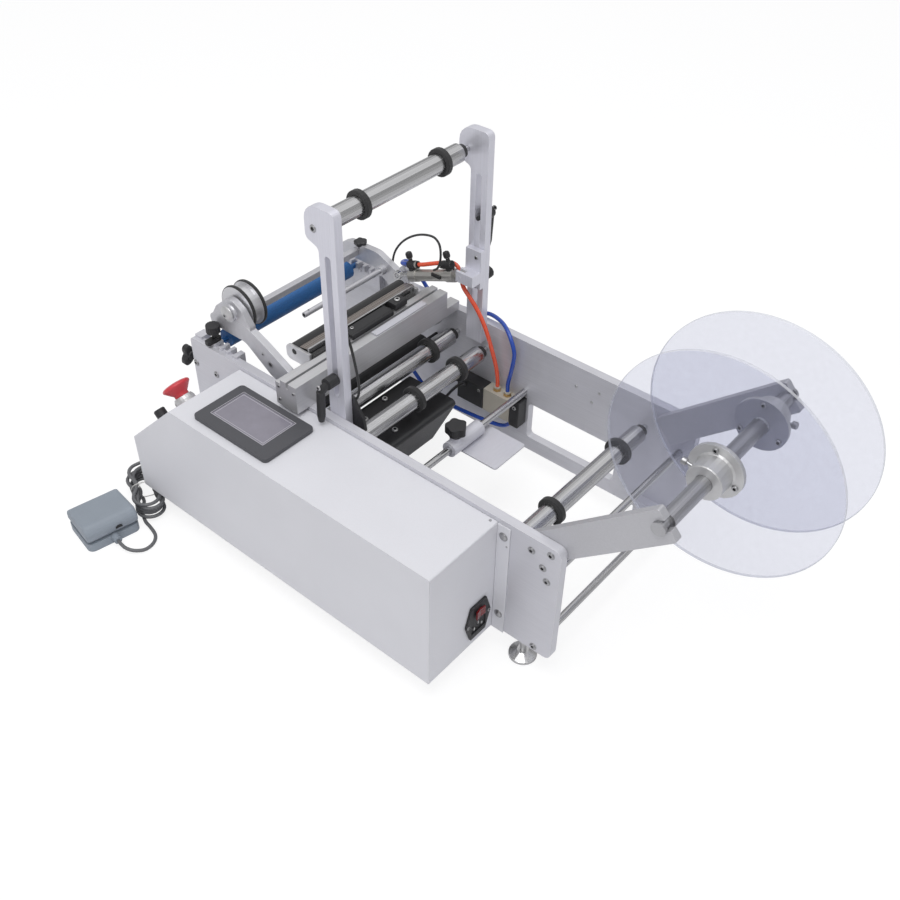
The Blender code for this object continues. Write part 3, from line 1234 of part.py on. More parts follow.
def make_peel_plate():
    """The thin plate in front of the beam, over whose edge the labels peel off."""
    low_y = CHEEK_NEAR_Y + CHEEK_THICKNESS + FIT_GAP
    high_y = CHEEK_FAR_Y - FIT_GAP
    rear = BEAM_FRONT_X - FIT_GAP
    front = rear - PEEL_PLATE_THICKNESS
    top = RUBBER_ROLLER_Z + PEEL_PLATE_HEIGHT / 2
    bottom = RUBBER_ROLLER_Z - PEEL_PLATE_HEIGHT / 2
    nose = PEEL_PLATE_THICKNESS / 3
    outline = rounded(((front, bottom, 0), (rear, bottom, 0), (rear, top, nose),
                       (front, top, nose)))
    piece("peel_plate", "steel", prism(outline, "Y", low_y, high_y))


def make_rubber_roller():
    near = CHEEK_NEAR_Y
    far = CHEEK_FAR_Y + CHEEK_THICKNESS
    inner = CHEEK_THICKNESS + FIT_GAP
    sections = ((AXLE_RADIUS, inner), (RUBBER_ROLLER_RADIUS, far - near - 2 * inner),
                (AXLE_RADIUS, inner))
    place = (RUBBER_ROLLER_X, near, RUBBER_ROLLER_Z)
    piece("rubber_roller", "black_rubber", stepped_rod(place, (0, 1, 0), sections), origin=place)


def make_label_sensor():
    ledge_z = BEAM_TOP_Z - BEAM_LEDGE_DROP + FIT_GAP
    outline = rectangle(BEAM_FRONT_X + FIT_GAP, SENSOR_NEAR_Y,
                        BEAM_FRONT_X + BEAM_LEDGE_DEPTH - FIT_GAP, SENSOR_NEAR_Y + SENSOR_LENGTH,
                        SENSOR_CORNER)
    piece("label_sensor", "black_plastic", prism(outline, "Z", ledge_z, ledge_z + SENSOR_HEIGHT))


# Small controls

def make_clamp_lever(name, face_y, outward, z):
    """A hand lever with its stud through the upright's slot."""
    hub_start = face_y + outward * FIT_GAP
    x = SLOT_X
    hub = rod((x, hub_start, z), (0, outward, 0), LEVER_HUB_LENGTH, LEVER_HUB_RADIUS,
              SMALL_STEPS)
    stud = rod((x, hub_start + outward * LEVER_HUB_LENGTH / 2, z), (0, -outward, 0),
               UPRIGHT_THICKNESS + LEVER_HUB_LENGTH / 2 + FIT_GAP, LEVER_STUD_RADIUS, SMALL_STEPS)
    knee = Vector((x, hub_start + outward * LEVER_HUB_LENGTH * LEVER_KNEE_SHARE, z))
    bend = knee + Vector((-LEVER_KNEE / 2, outward * LEVER_KNEE, -LEVER_KNEE))
    drop = Vector((-LEVER_KNEE / 4, 0, -LEVER_HANDLE_LENGTH)).normalized()
    upper = turned(((0, 0), (LEVER_HANDLE_RADIUS, 0), (LEVER_HANDLE_RADIUS, (bend - knee).length),
                    (0, (bend - knee).length + LEVER_HANDLE_RADIUS)), knee, bend - knee,
                   SMALL_STEPS)
    length = LEVER_HANDLE_LENGTH
    straight, tip = LEVER_TAPER_SHARES
    grip = turned(((0, -LEVER_HANDLE_RADIUS / 2), (LEVER_HANDLE_RADIUS, 0),
                   (LEVER_HANDLE_RADIUS, length * straight), (LEVER_HANDLE_RADIUS * tip, length),
                   (0, length + LEVER_HANDLE_RADIUS / 2)), bend, drop, SMALL_STEPS)
    piece(name, "black_plastic", hub, [stud, upper, grip], origin=(x, hub_start, z))


def make_web_guide():
    """A sleeve on the guide rod with a flat plate behind it and a boss for its knob."""
    place = (GUIDE_ROD_X, SLEEVE_NEAR_Y, GUIDE_ROD_Z)
    bar = rod((GUIDE_ROD_X, NEAR_INNER_Y + FIT_GAP, GUIDE_ROD_Z), (0, 1, 0),
              FAR_INNER_Y - NEAR_INNER_Y - 2 * FIT_GAP, GUIDE_ROD_RADIUS)
    piece("guide_rod", "chrome", bar)
    sleeve = rod(place, (0, 1, 0), SLEEVE_LENGTH, SLEEVE_RADIUS)
    plate_z = GUIDE_ROD_Z - SLEEVE_RADIUS - GUIDE_PLATE_THICKNESS / 2
    low_y = SLEEVE_NEAR_Y + GUIDE_PLATE_START
    plate = prism(rectangle(GUIDE_ROD_X - SLEEVE_RADIUS, low_y,
                            GUIDE_ROD_X - SLEEVE_RADIUS + GUIDE_PLATE_LENGTH,
                            low_y + GUIDE_PLATE_WIDTH, GUIDE_PLATE_CORNER),
                  "Z", plate_z, plate_z + GUIDE_PLATE_THICKNESS)
    boss_y = SLEEVE_NEAR_Y + STAR_DOWN_SLEEVE
    boss = rod((GUIDE_ROD_X, boss_y, GUIDE_ROD_Z), (0, 0, 1), STAR_BOSS_TOP, STAR_BOSS_RADIUS)
    bore = rod((GUIDE_ROD_X, SLEEVE_NEAR_Y - CUT_OVERRUN, GUIDE_ROD_Z), (0, 1, 0),
               SLEEVE_LENGTH + 2 * CUT_OVERRUN, GUIDE_ROD_RADIUS + FIT_GAP)
    piece("web_guide", "aluminium", sleeve, [plate, boss], [bore], origin=place)
    base_z = GUIDE_ROD_Z + STAR_BOSS_TOP + FIT_GAP
    neck = rod((GUIDE_ROD_X, boss_y, base_z), (0, 0, 1), STAR_NECK_LENGTH, STAR_NECK_RADIUS)
    head = prism([point + Vector((GUIDE_ROD_X, boss_y)) for point in
                  lobed(STAR_RADIUS, STAR_LOBES, STAR_LOBE_SHARE, 8)], "Z",
                 base_z + STAR_NECK_LENGTH / 2, base_z + STAR_NECK_LENGTH / 2 + STAR_HEIGHT)
    piece("web_guide_knob", "black_plastic", head, [neck], origin=(GUIDE_ROD_X, boss_y, base_z))


def make_drive_housing():
    """The dark cover over the drive, with a slanted rear face, under the feed rollers."""
    outline = rounded(((HOUSING_FRONT_X, HOUSING_BOTTOM_Z, HOUSING_CORNER),
                       (HOUSING_BOTTOM_REAR_X, HOUSING_BOTTOM_Z, HOUSING_CORNER),
                       (HOUSING_TOP_REAR_X, HOUSING_TOP_Z, HOUSING_CORNER),
                       (HOUSING_FRONT_X, HOUSING_TOP_Z, HOUSING_CORNER)))
    low_y = NEAR_INNER_Y + HOUSING_NEAR_GAP
    piece("drive_housing", "black_plastic", prism(outline, "Y", low_y, low_y + HOUSING_WIDTH))


def make_air_valve():
    """The valve block on the far plate, its coil and pilot at the ends, and its fittings."""
    back = FAR_INNER_Y - FIT_GAP
    front = back - VALVE_DEPTH
    top = VALVE_BOTTOM_Z + VALVE_HEIGHT
    rear_x = VALVE_FRONT_X + VALVE_LENGTH
    block = prism(rectangle(VALVE_FRONT_X, VALVE_BOTTOM_Z, rear_x, top), "Y", front, back)
    coil = prism(rectangle(rear_x - COIL_MARGIN, VALVE_BOTTOM_Z - COIL_MARGIN,
                           rear_x + COIL_LENGTH, top + COIL_MARGIN, COIL_MARGIN / 2), "Y",
                 front + COIL_MARGIN, back - COIL_MARGIN)
    pilot = prism(rectangle(VALVE_FRONT_X - PILOT_LENGTH, VALVE_BOTTOM_Z + COIL_MARGIN,
                            VALVE_FRONT_X + COIL_MARGIN, top - COIL_MARGIN, COIL_MARGIN / 2),
                  "Y", front + COIL_MARGIN, back - COIL_MARGIN)
    fittings = []
    for x in (ORANGE_FITTING_X, BLUE_FITTING_X):
        fittings.append(rod((x, back - VALVE_DEPTH / 2, top - FITTING_HEIGHT), (0, 0, 1),
                            FITTING_HEIGHT * 2, FITTING_RADIUS, SMALL_STEPS))
    piece("air_valve", "ivory", block, [coil, pilot] + fittings)


# Foot pedal and cord

def pedal_place(length_wise, width_wise, z):
    """A point of the pedal, whose length runs towards its cord."""
    turn = Matrix.Rotation(PEDAL_TURN, 4, "Z")
    return Vector((PEDAL_X, PEDAL_Y, 0)) + turn @ Vector((length_wise, width_wise, z))


def make_pedal():
    half_x = PEDAL_LENGTH / 2
    half_y = PEDAL_WIDTH / 2
    turn = Matrix.Translation((PEDAL_X, PEDAL_Y, 0)) @ Matrix.Rotation(PEDAL_TURN, 4, "Z")
    base = prism(rectangle(-half_x, -half_y, half_x, half_y, PEDAL_CORNER), "Z", 0,
                 PEDAL_BASE_HEIGHT)
    gland = rod((half_x - PEDAL_GLAND_LENGTH, 0, PEDAL_GLAND_Z), (1, 0, 0),
                2 * PEDAL_GLAND_LENGTH, PEDAL_GLAND_RADIUS, SMALL_STEPS)
    for part in (base, gland):
        part.data.transform(turn)
    hinge_x = half_x - PEDAL_CORNER
    hinge_z = PEDAL_BASE_HEIGHT + PEDAL_LID_GAP / 2
    hinge_start = (hinge_x, -half_y + PEDAL_HINGE_INSET, hinge_z)
    pin = rod(hinge_start, (0, 1, 0), PEDAL_WIDTH - 2 * PEDAL_HINGE_INSET, PEDAL_HINGE_RADIUS,
              SMALL_STEPS)
    pin.data.transform(turn)
    piece("pedal_base", "pedal_grey", base, [gland, pin])
    low = PEDAL_BASE_HEIGHT + PEDAL_LID_GAP
    high = PEDAL_BASE_HEIGHT + PEDAL_LID_HEIGHT
    side = rounded(((-half_x, low, 0), (half_x, low, 0), (half_x, high - PEDAL_CORNER, 0),
                    (half_x - PEDAL_CORNER, high, 0),
                    (-half_x, high - PEDAL_LID_FRONT_DROP, 0)))
    lid = prism(side, "Y", -half_y, half_y)
    bevel = lid.modifiers.new("edge", "BEVEL")
    bevel.width = PEDAL_LID_BEVEL
    bevel.segments = 2
    bevel.limit_method = "ANGLE"
    bevel.angle_limit = SMOOTH_ANGLE
    groove = rod((hinge_x, -half_y - CUT_OVERRUN, hinge_z), (0, 1, 0),
                 PEDAL_WIDTH + 2 * CUT_OVERRUN, PEDAL_HINGE_RADIUS + RUNNING_GAP, SMALL_STEPS)
    combine(lid, groove, "DIFFERENCE")
    lid.data.transform(turn)
    piece("pedal_lid", "pedal_grey", lid, origin=pedal_place(hinge_x, 0, hinge_z))


def make_hank():
    """The outer shape of the tied hank: a flat bar with round ends, lying on the floor."""
    end = HANK_WIDTH / 2 - FIT_GAP
    half_x = HANK_LENGTH / 2
    half_y = HANK_WIDTH / 2
    hank = prism(rectangle(-half_x, -half_y, half_x, half_y, end), "Z", 0, HANK_HEIGHT)
    hank.data.transform(Matrix.Translation((HANK_X, HANK_Y, 0))
                        @ Matrix.Rotation(HANK_TURN, 4, "Z"))
    piece("pedal_cord_hank", "cord_grey", hank)


def make_flexible_lines():
    flexible("air_tube_orange", "orange", ORANGE_ROUTE, TUBE_RADIUS, CORD_POINT_SPACING)
    flexible("air_tube_blue", "tube_blue", BLUE_ROUTE, TUBE_RADIUS, CORD_POINT_SPACING)
    flexible("cylinder_sensor_lead", "black_rubber", SENSOR_ROUTE, LEAD_RADIUS,
             LEAD_POINT_SPACING)
    flexible("pedal_cord", "cord_grey", PEDAL_CORD_ROUTE, PEDAL_CORD_RADIUS, LEAD_POINT_SPACING)
    flexible("box_cord", "cord_grey", BOX_CORD_ROUTE, PEDAL_CORD_RADIUS, LEAD_POINT_SPACING)


FREE_CORDS = ("pedal_cord", "box_cord", "pedal_cord_hank")


def footprint_middle(pieces):
    corners = [item.matrix_world @ Vector(corner) for item in pieces for corner in item.bound_box]
    low = [min(corner[axis] for corner in corners) for axis in range(3)]
    high = [max(corner[axis] for corner in corners) for axis in range(3)]
    return Vector(((low[0] + high[0]) / 2, (low[1] + high[1]) / 2, low[2]))


def centre_on_origin():
    """Hang every piece on one empty and move the footprint's middle to the origin."""
    pieces = list(bpy.data.objects)
    bpy.context.view_layer.update()
    middle = footprint_middle([item for item in pieces if item.name not in FREE_CORDS])
    machine = bpy.data.objects.new("machine", None)
    bpy.context.scene.collection.objects.link(machine)
    for item in pieces:
        item.parent = machine
    machine.location = -middle


def main():
    for item in list(bpy.data.objects):
        bpy.data.objects.remove(item)
    make_frame()
    make_upright("upright_near", UPRIGHT_NEAR_Y)
    make_upright("upright_far", UPRIGHT_FAR_Y)
    make_control_box()
    make_touch_panel()
    make_stop_button()
    make_push_button()
    make_power_inlet()
    make_guide_rollers()
    make_traction_roller()
    make_support_roller()
    make_roller_clamp()
    make_reel()
    make_near_press_arm()
    make_far_press_arm()
    make_press_drum()
    make_crossbar()
    make_cylinder()
    make_piston_rod()
    make_cylinder_bracket()
    make_peel_beam()
    make_peel_plate()
    make_rubber_roller()
    make_label_sensor()
    make_clamp_lever("clamp_lever_near", UPRIGHT_NEAR_Y, -1, LEVER_Z)
    make_clamp_lever("clamp_lever_far", UPRIGHT_FAR_Y + UPRIGHT_THICKNESS, 1, FAR_LEVER_Z)
    make_web_guide()
    make_drive_housing()
    make_air_valve()
    make_pedal()
    make_hank()
    make_flexible_lines()
    centre_on_origin()


main()
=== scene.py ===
"""Looks of a bottle labelling machine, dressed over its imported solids. Metres, +Z up."""
import math

import bmesh
import bpy
from mathutils import Matrix, Vector


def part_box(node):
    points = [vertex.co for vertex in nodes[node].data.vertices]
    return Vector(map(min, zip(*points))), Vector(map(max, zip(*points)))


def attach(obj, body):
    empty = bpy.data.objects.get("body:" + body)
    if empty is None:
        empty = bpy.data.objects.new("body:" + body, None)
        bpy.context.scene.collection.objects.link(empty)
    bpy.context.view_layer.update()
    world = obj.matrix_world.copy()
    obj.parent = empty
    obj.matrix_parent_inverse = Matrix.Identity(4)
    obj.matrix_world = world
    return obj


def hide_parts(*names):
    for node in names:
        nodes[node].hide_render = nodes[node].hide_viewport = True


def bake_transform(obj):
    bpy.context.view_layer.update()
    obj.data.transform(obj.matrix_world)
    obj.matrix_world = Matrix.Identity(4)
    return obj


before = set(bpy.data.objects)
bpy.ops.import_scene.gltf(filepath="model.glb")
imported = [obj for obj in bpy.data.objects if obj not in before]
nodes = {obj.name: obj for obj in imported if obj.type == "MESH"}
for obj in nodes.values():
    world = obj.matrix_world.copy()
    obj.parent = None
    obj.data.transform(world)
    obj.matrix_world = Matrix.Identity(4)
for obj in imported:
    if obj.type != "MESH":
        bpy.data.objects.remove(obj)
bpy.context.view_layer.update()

# Machine coordinates: x = 0 is the control box's rear end, y = 0 the near plate's outer
# face and z = 0 the floor. OFFSET moves them into the frame.
BOX_TO_PLATE = 0.0003
BOX_TOP = 0.216
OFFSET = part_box("control_box")[1] - Vector((0, -BOX_TO_PLATE, BOX_TOP))
X, Y, Z = Vector((1, 0, 0)), Vector((0, 1, 0)), Vector((0, 0, 1))


def at(x, y, z):
    return Vector((x, y, z)) + OFFSET


def middle_of(node):
    low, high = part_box(node)
    return (low + high) / 2


# Camera

CAMERA_PLACE = (0.49624, -0.69689, 1.06573)
CAMERA_RIGHT = (0.765777, 0.642911, 0.015843)
CAMERA_DOWN = (0.431644, -0.495561, -0.753726)
CAMERA_VIEW = (-0.476728, 0.584025, -0.656997)
CAMERA_LENS = 42.546
SENSOR_WIDTH = 36
CLIP_RANGE = (0.05, 60)


def make_camera():
    data = bpy.data.cameras.new("photo_camera")
    data.sensor_width = SENSOR_WIDTH
    data.lens = CAMERA_LENS
    data.clip_start, data.clip_end = CLIP_RANGE
    camera = bpy.data.objects.new("photo_camera", data)
    bpy.context.scene.collection.objects.link(camera)
    turn = Matrix((CAMERA_RIGHT, -Vector(CAMERA_DOWN), -Vector(CAMERA_VIEW))).transposed()
    camera.matrix_world = Matrix.Translation(at(*CAMERA_PLACE)) @ turn.to_4x4()
    bpy.context.scene.camera = camera


make_camera()


# Materials

NOISE_RANGE = (0.35, 0.65)
NOISE_ROUGHNESS = 0.55
PATCH_GRAIN = 14.0
PATCH_DETAIL = 2.0
BEVEL_SAMPLES = 4
# The bend of the rounded normal at which the painted edge highlight is full
EDGE_HIGHLIGHT_GAIN = 0.35
COAT_ROUGHNESS = 0.15
SUBSURFACE_DEPTH = 0.002
FACING_BLEND = 0.15
FACING_SHARE = 0.30
SCUFF_GRAIN = 160
SCUFF_DETAIL = 3.0
SCUFF_TINT = 0.985
SCUFF_COLOUR = 0.95
SCUFF_ROUGHNESS = (0.8, 1.3)
MATERIALS = {}


def new_material(name):
    """Add a material to the table; returns its node tree and its surface shader."""
    material = bpy.data.materials.new(name)
    material.use_nodes = True
    MATERIALS[name] = material
    tree = material.node_tree
    return tree, tree.nodes["Principled BSDF"]


def set_inputs(tree, item, inputs):
    """Set a node's inputs to values, or link them to other nodes' outputs."""
    for key, value in inputs.items():
        if isinstance(value, bpy.types.NodeSocket):
            tree.links.new(value, item.inputs[key])
        else:
            item.inputs[key].default_value = value


def add_node(tree, kind, inputs):
    item = tree.nodes.new("ShaderNode" + kind)
    set_inputs(tree, item, inputs)
    return item


def maths(tree, operation, first, *others):
    item = tree.nodes.new("ShaderNodeMath")
    item.operation = operation
    set_inputs(tree, item, dict(enumerate((first, *others))))
    return item.outputs[0]


def mix_colours(tree, factor, first, second, blend="MIX"):
    mix = tree.nodes.new("ShaderNodeMix")
    mix.data_type = "RGBA"
    mix.blend_type = blend
    colours = [(*value, 1) if isinstance(value, tuple) else value for value in (first, second)]
    set_inputs(tree, mix, {0: factor, 6: colours[0], 7: colours[1]})
    return mix.outputs[2]


def mix_shaders(tree, factor, first, second):
    return add_node(tree, "MixShader", {0: factor, 1: first, 2: second}).outputs[0]


def noise(tree, grain, detail):
    """A noise value from 0 to 1; grain is its cells per metre, one number or x, y and z."""
    if isinstance(grain, (int, float)):
        grain = (grain,) * 3
    place = tree.nodes.new("ShaderNodeTexCoord").outputs["Object"]
    mapping = add_node(tree, "Mapping", {"Vector": place, "Scale": grain})
    texture = add_node(tree, "TexNoise", {"Vector": mapping.outputs[0], "Scale": 1.0,
                                          "Detail": detail, "Roughness": NOISE_ROUGHNESS})
    return add_node(tree, "MapRange", {"Value": texture.outputs["Fac"],
                                       "From Min": NOISE_RANGE[0],
                                       "From Max": NOISE_RANGE[1]}).outputs[0]


def varied(tree, value, middle, vary):
    """A number that goes from below to above its middle with the value."""
    return add_node(tree, "MapRange", {"Value": value, "To Min": middle * (1 - vary),
                                       "To Max": min(middle * (1 + vary), 1)}).outputs[0]


def edge_highlight_mask(tree, bevel):
    """1 along sharp edges, from the angle between the rounded and the true normal."""
    dot = tree.nodes.new("ShaderNodeVectorMath")
    dot.operation = "DOT_PRODUCT"
    true_normal = tree.nodes.new("ShaderNodeNewGeometry").outputs["Normal"]
    set_inputs(tree, dot, {0: bevel, 1: true_normal})
    return add_node(tree, "MapRange", {"Value": dot.outputs["Value"], "From Min": 1.0,
                                       "From Max": 1.0 - EDGE_HIGHLIGHT_GAIN}).outputs[0]


def shade(name, colour, roughness, metallic=0.0, grain=900, vary=0.05, patch=0.03,
          bump=0.15, depth=0.0001, rough_vary=0.12, edge=0.0, edge_highlight_colour=None, radius=0.0007,
          coat=0.0, detail=4.0, sheen=0.0, subsurface=0.0):
    """A material with grain, slow patches, rounded edges and painted highlights along its edges.
    """
    tree, shader = new_material(name)
    fine = noise(tree, grain, detail)
    slow = noise(tree, PATCH_GRAIN, PATCH_DETAIL)
    base = mix_colours(tree, fine, tuple(c * (1 - vary) for c in colour),
                       tuple(min(c * (1 + vary), 1) for c in colour))
    tint = mix_colours(tree, slow, (1 - patch,) * 3, (1, 1, 1))
    shown = mix_colours(tree, 1.0, base, tint, "MULTIPLY")
    relief = {"Strength": bump, "Distance": depth, "Height": fine}
    if radius:
        bevel = add_node(tree, "Bevel", {"Radius": radius})
        bevel.samples = BEVEL_SAMPLES
        relief["Normal"] = bevel.outputs[0]
        # Painted highlight: along sharp edges the colour is mixed towards the lighter edge
        # colour.
        if edge:
            highlight_share = maths(tree, "MULTIPLY", edge_highlight_mask(tree, bevel.outputs[0]), edge)
            shown = mix_colours(tree, highlight_share, shown, edge_highlight_colour)
    set_inputs(tree, shader, {
        "Base Color": shown, "Roughness": varied(tree, fine, roughness, rough_vary),
        "Normal": add_node(tree, "Bump", relief).outputs[0], "Metallic": metallic,
        "Coat Weight": coat, "Coat Roughness": COAT_ROUGHNESS, "Sheen Weight": sheen,
        "Subsurface Weight": subsurface, "Subsurface Scale": SUBSURFACE_DEPTH})


ALONG_X = (14, 1400, 1400)
ALONG_Y = (1400, 10, 1400)
ALONG_Z = (1400, 1400, 14)

# Each edge colour below is a painted highlight, lighter than the material's own colour.
shade("powder_coat", (0.710, 0.712, 0.752), 0.48, grain=1100, vary=0.018, patch=0.02, bump=0.22,
      edge=0.5, radius=0.0012, edge_highlight_colour=(0.86, 0.865, 0.88))
shade("plate", (0.66, 0.66, 0.705), 0.40, 0.35, grain=ALONG_X, vary=0.045, patch=0.05, bump=0.08,
      edge=0.9, edge_highlight_colour=(0.90, 0.90, 0.93))
shade("upright", (0.74, 0.74, 0.81), 0.38, 0.45, grain=ALONG_Z, vary=0.04, bump=0.08, edge=0.9,
      edge_highlight_colour=(0.92, 0.92, 0.94))
shade("arm", (0.58, 0.58, 0.61), 0.38, 0.55, grain=(120, 900, 120), vary=0.04, bump=0.08,
      edge=0.9, edge_highlight_colour=(0.90, 0.90, 0.92))
shade("reel_arm", (0.52, 0.52, 0.545), 0.42, 0.4, grain=500, vary=0.03, bump=0.08, edge=0.9,
      edge_highlight_colour=(0.86, 0.86, 0.88))
shade("beam", (0.62, 0.62, 0.635), 0.32, 0.6, grain=ALONG_Y, vary=0.05, bump=0.1, edge=0.9,
      edge_highlight_colour=(0.94, 0.94, 0.95))
shade("turned", (0.60, 0.60, 0.605), 0.40, 0.7, vary=0.025, patch=0.02, bump=0.03, edge=0.8,
      edge_highlight_colour=(0.9, 0.9, 0.9), radius=0.0004)
shade("shaft", (0.44, 0.44, 0.455), 0.30, 0.9, grain=(1500, 5, 1500), vary=0.04, bump=0.03,
      edge=0.4, edge_highlight_colour=(0.7, 0.7, 0.7), radius=0.0004)
shade("guide", (0.65, 0.65, 0.705), 0.40, 0.25, grain=(900, 60, 900), vary=0.03, bump=0.06,
      edge=0.8, edge_highlight_colour=(0.9, 0.9, 0.92), radius=0.0006)
# Painted reflection: the polished peel nose is tinted tan for a reflection it shows.
shade("tan_steel", (0.36, 0.32, 0.295), 0.28, 0.8, grain=(900, 8, 900), vary=0.12, bump=0.05,
      edge=0.5, edge_highlight_colour=(0.65, 0.62, 0.60), radius=0.0003)
shade("drum", (0.66, 0.66, 0.68), 0.33, 0.7, grain=(2000, 60, 2000), vary=0.05, bump=0.08,
      edge=0.7, edge_highlight_colour=(0.93, 0.93, 0.93), radius=0.0004)
shade("chrome", (0.56, 0.56, 0.565), 0.25, 1.0, grain=(420, 5, 420), vary=0.07, bump=0.03,
      rough_vary=0.15, detail=3.0, edge=0.4, edge_highlight_colour=(0.8, 0.8, 0.8), radius=0.0005)
shade("steel_rod", (0.52, 0.52, 0.525), 0.26, 1.0, grain=(700, 8, 700), vary=0.10, bump=0.05,
      rough_vary=0.3, radius=0.0004)
shade("barrel", (0.50, 0.49, 0.465), 0.36, 0.8, grain=(1800, 400, 1800), vary=0.08, bump=0.08,
      edge=0.6, edge_highlight_colour=(0.75, 0.75, 0.73), radius=0.0004)
shade("zinc", (0.60, 0.60, 0.60), 0.3, 0.9, vary=0.08, bump=0.1, edge=0.6,
      edge_highlight_colour=(0.85, 0.85, 0.85), radius=0.0003)
shade("screw", (0.42, 0.42, 0.43), 0.32, 0.9, vary=0.10, bump=0.1, radius=0.0002, edge=0.6,
      edge_highlight_colour=(0.75, 0.75, 0.75))
# Painted shade: a near-black look for the inside of recesses, bores and slots.
shade("recess", (0.03, 0.03, 0.032), 0.6, 0.3, vary=0.2, radius=0.0)
shade("black_plastic", (0.022, 0.022, 0.024), 0.48, grain=1500, vary=0.15, bump=0.2, edge=0.45,
      edge_highlight_colour=(0.075, 0.075, 0.08), radius=0.0006)
shade("rubber", (0.018, 0.018, 0.019), 0.72, grain=1300, vary=0.2, bump=0.25, edge=0.3,
      edge_highlight_colour=(0.06, 0.06, 0.06), sheen=0.2, radius=0.0004)
shade("black_steel", (0.030, 0.030, 0.032), 0.42, 0.2, grain=1200, vary=0.15, bump=0.15, edge=0.6,
      edge_highlight_colour=(0.12, 0.12, 0.12))
shade("bezel", (0.070, 0.071, 0.080), 0.42, grain=1600, vary=0.06, bump=0.12, edge=0.5,
      edge_highlight_colour=(0.16, 0.16, 0.175), radius=0.0008)
shade("screen", (0.243, 0.230, 0.277), 0.16, grain=60, vary=0.04, patch=0.10, bump=0.0, coat=0.4,
      radius=0.0)
shade("screen_line", (0.43, 0.42, 0.46), 0.35, vary=0.05, radius=0.0)
shade("red", (0.60, 0.042, 0.055), 0.36, grain=1500, vary=0.06, bump=0.08, coat=0.15, edge=0.4,
      edge_highlight_colour=(0.78, 0.12, 0.13))
shade("red_lamp", (0.17, 0.010, 0.012), 0.25, vary=0.10, coat=0.3, edge=0.4,
      edge_highlight_colour=(0.32, 0.04, 0.04), radius=0.0004)
shade("blue_rubber", (0.016, 0.125, 0.36), 0.58, grain=(900, 300, 900), vary=0.12, bump=0.3,
      sheen=0.15, edge=0.3, edge_highlight_colour=(0.05, 0.20, 0.50))
shade("ivory", (0.47, 0.44, 0.38), 0.5, grain=1100, vary=0.05, bump=0.12, edge=0.5,
      edge_highlight_colour=(0.62, 0.60, 0.54))
shade("pedal", (0.282, 0.320, 0.368), 0.52, grain=1400, vary=0.05, patch=0.05, bump=0.3, edge=0.5,
      edge_highlight_colour=(0.34, 0.38, 0.42), radius=0.0012)
shade("cord", (0.135, 0.138, 0.145), 0.5, grain=700, vary=0.08, bump=0.15, coat=0.08, radius=0.0)
shade("orange_tube", (0.84, 0.105, 0.045), 0.24, grain=500, vary=0.06, bump=0.04, coat=0.35,
      subsurface=0.15, radius=0.0)
shade("blue_tube", (0.020, 0.075, 0.42), 0.24, grain=500, vary=0.08, bump=0.04, coat=0.35,
      subsurface=0.1, radius=0.0)
shade("brass", (0.62, 0.42, 0.20), 0.3, 0.9, vary=0.08, bump=0.1, radius=0.0003)
# Near-black strips on the beam's ledge, with a soft sheen and a coarse bump
shade("felt", (0.015, 0.015, 0.016), 0.9, grain=2200, vary=0.35, bump=0.6, depth=0.0003,
      sheen=0.4, radius=0.0)
shade("tie", (0.72, 0.71, 0.69), 0.4, vary=0.05, radius=0.0)


def clear_material(name, tint, colour, gloss, roughness):
    """Thin clear acrylic that tints what is behind it, with a scuffed glossy surface."""
    tree, shader = new_material(name)
    fine = noise(tree, SCUFF_GRAIN, SCUFF_DETAIL)
    filtered = mix_colours(tree, fine, tuple(c * SCUFF_TINT for c in tint), tint)
    through = add_node(tree, "BsdfTransparent", {"Color": filtered})
    smoothest, roughest = (roughness * share for share in SCUFF_ROUGHNESS)
    rough = add_node(tree, "MapRange", {"Value": fine, "To Min": smoothest,
                                        "To Max": roughest})
    shown = mix_colours(tree, fine, tuple(c * SCUFF_COLOUR for c in colour), colour)
    set_inputs(tree, shader, {"Base Color": shown, "Roughness": rough.outputs[0]})
    facing = add_node(tree, "LayerWeight", {"Blend": FACING_BLEND}).outputs["Facing"]
    share = maths(tree, "MULTIPLY_ADD", facing, FACING_SHARE, gloss)
    mixed = mix_shaders(tree, share, through.outputs[0], shader.outputs[0])
    tree.links.new(mixed, tree.nodes["Material Output"].inputs["Surface"])


clear_material("acrylic", (0.905, 0.91, 0.945), (0.62, 0.63, 0.70), 0.02, 0.2)
clear_material("acrylic_edge", (0.82, 0.83, 0.87), (0.80, 0.81, 0.85), 0.45, 0.25)

NODE_LOOKS = {
    "powder_coat": ("control_box",),
    "plate": ("near_side_plate", "far_side_plate"),
    "guide": ("web_guide",),
    "shaft": ("reel_shaft",),
    "upright": ("upright_near", "upright_far", "cylinder_bracket"),
    "arm": ("press_arm_near", "press_arm_far", "press_crossbar"),
    "reel_arm": ("reel_arm_near", "reel_arm_far"),
    "beam": ("peel_beam",),
    "turned": ("reel_hub_near", "reel_hub_far", "stop_collar"),
    "drum": ("press_drum",),
    "chrome": ("top_roller", "rear_roller", "upper_feed_roller", "lower_feed_roller"),
    "steel_rod": ("tie_rod_upper", "tie_rod_lower", "guide_rod", "piston_rod", "peel_plate"),
    "barrel": ("press_cylinder",),
    "zinc": ("levelling_foot_near_front", "levelling_foot_near_rear",
             "levelling_foot_far_front", "levelling_foot_far_rear"),
    "black_plastic": ("clamp_lever_near", "clamp_lever_far", "web_guide_knob",
                      "roller_clamp_knob", "roller_clamp", "push_button", "power_inlet",
                      "label_sensor"),
    "red_lamp": ("rocker_switch",),
    "rubber": ("top_collar_near", "top_collar_far", "rubber_roller", "traction_roller"),
    "black_steel": ("drive_housing",),
    "bezel": ("touch_panel",),
    "red": ("stop_button",),
    "blue_rubber": ("support_roller",),
    "ivory": ("air_valve",),
    "pedal": ("pedal_base", "pedal_lid"),
}
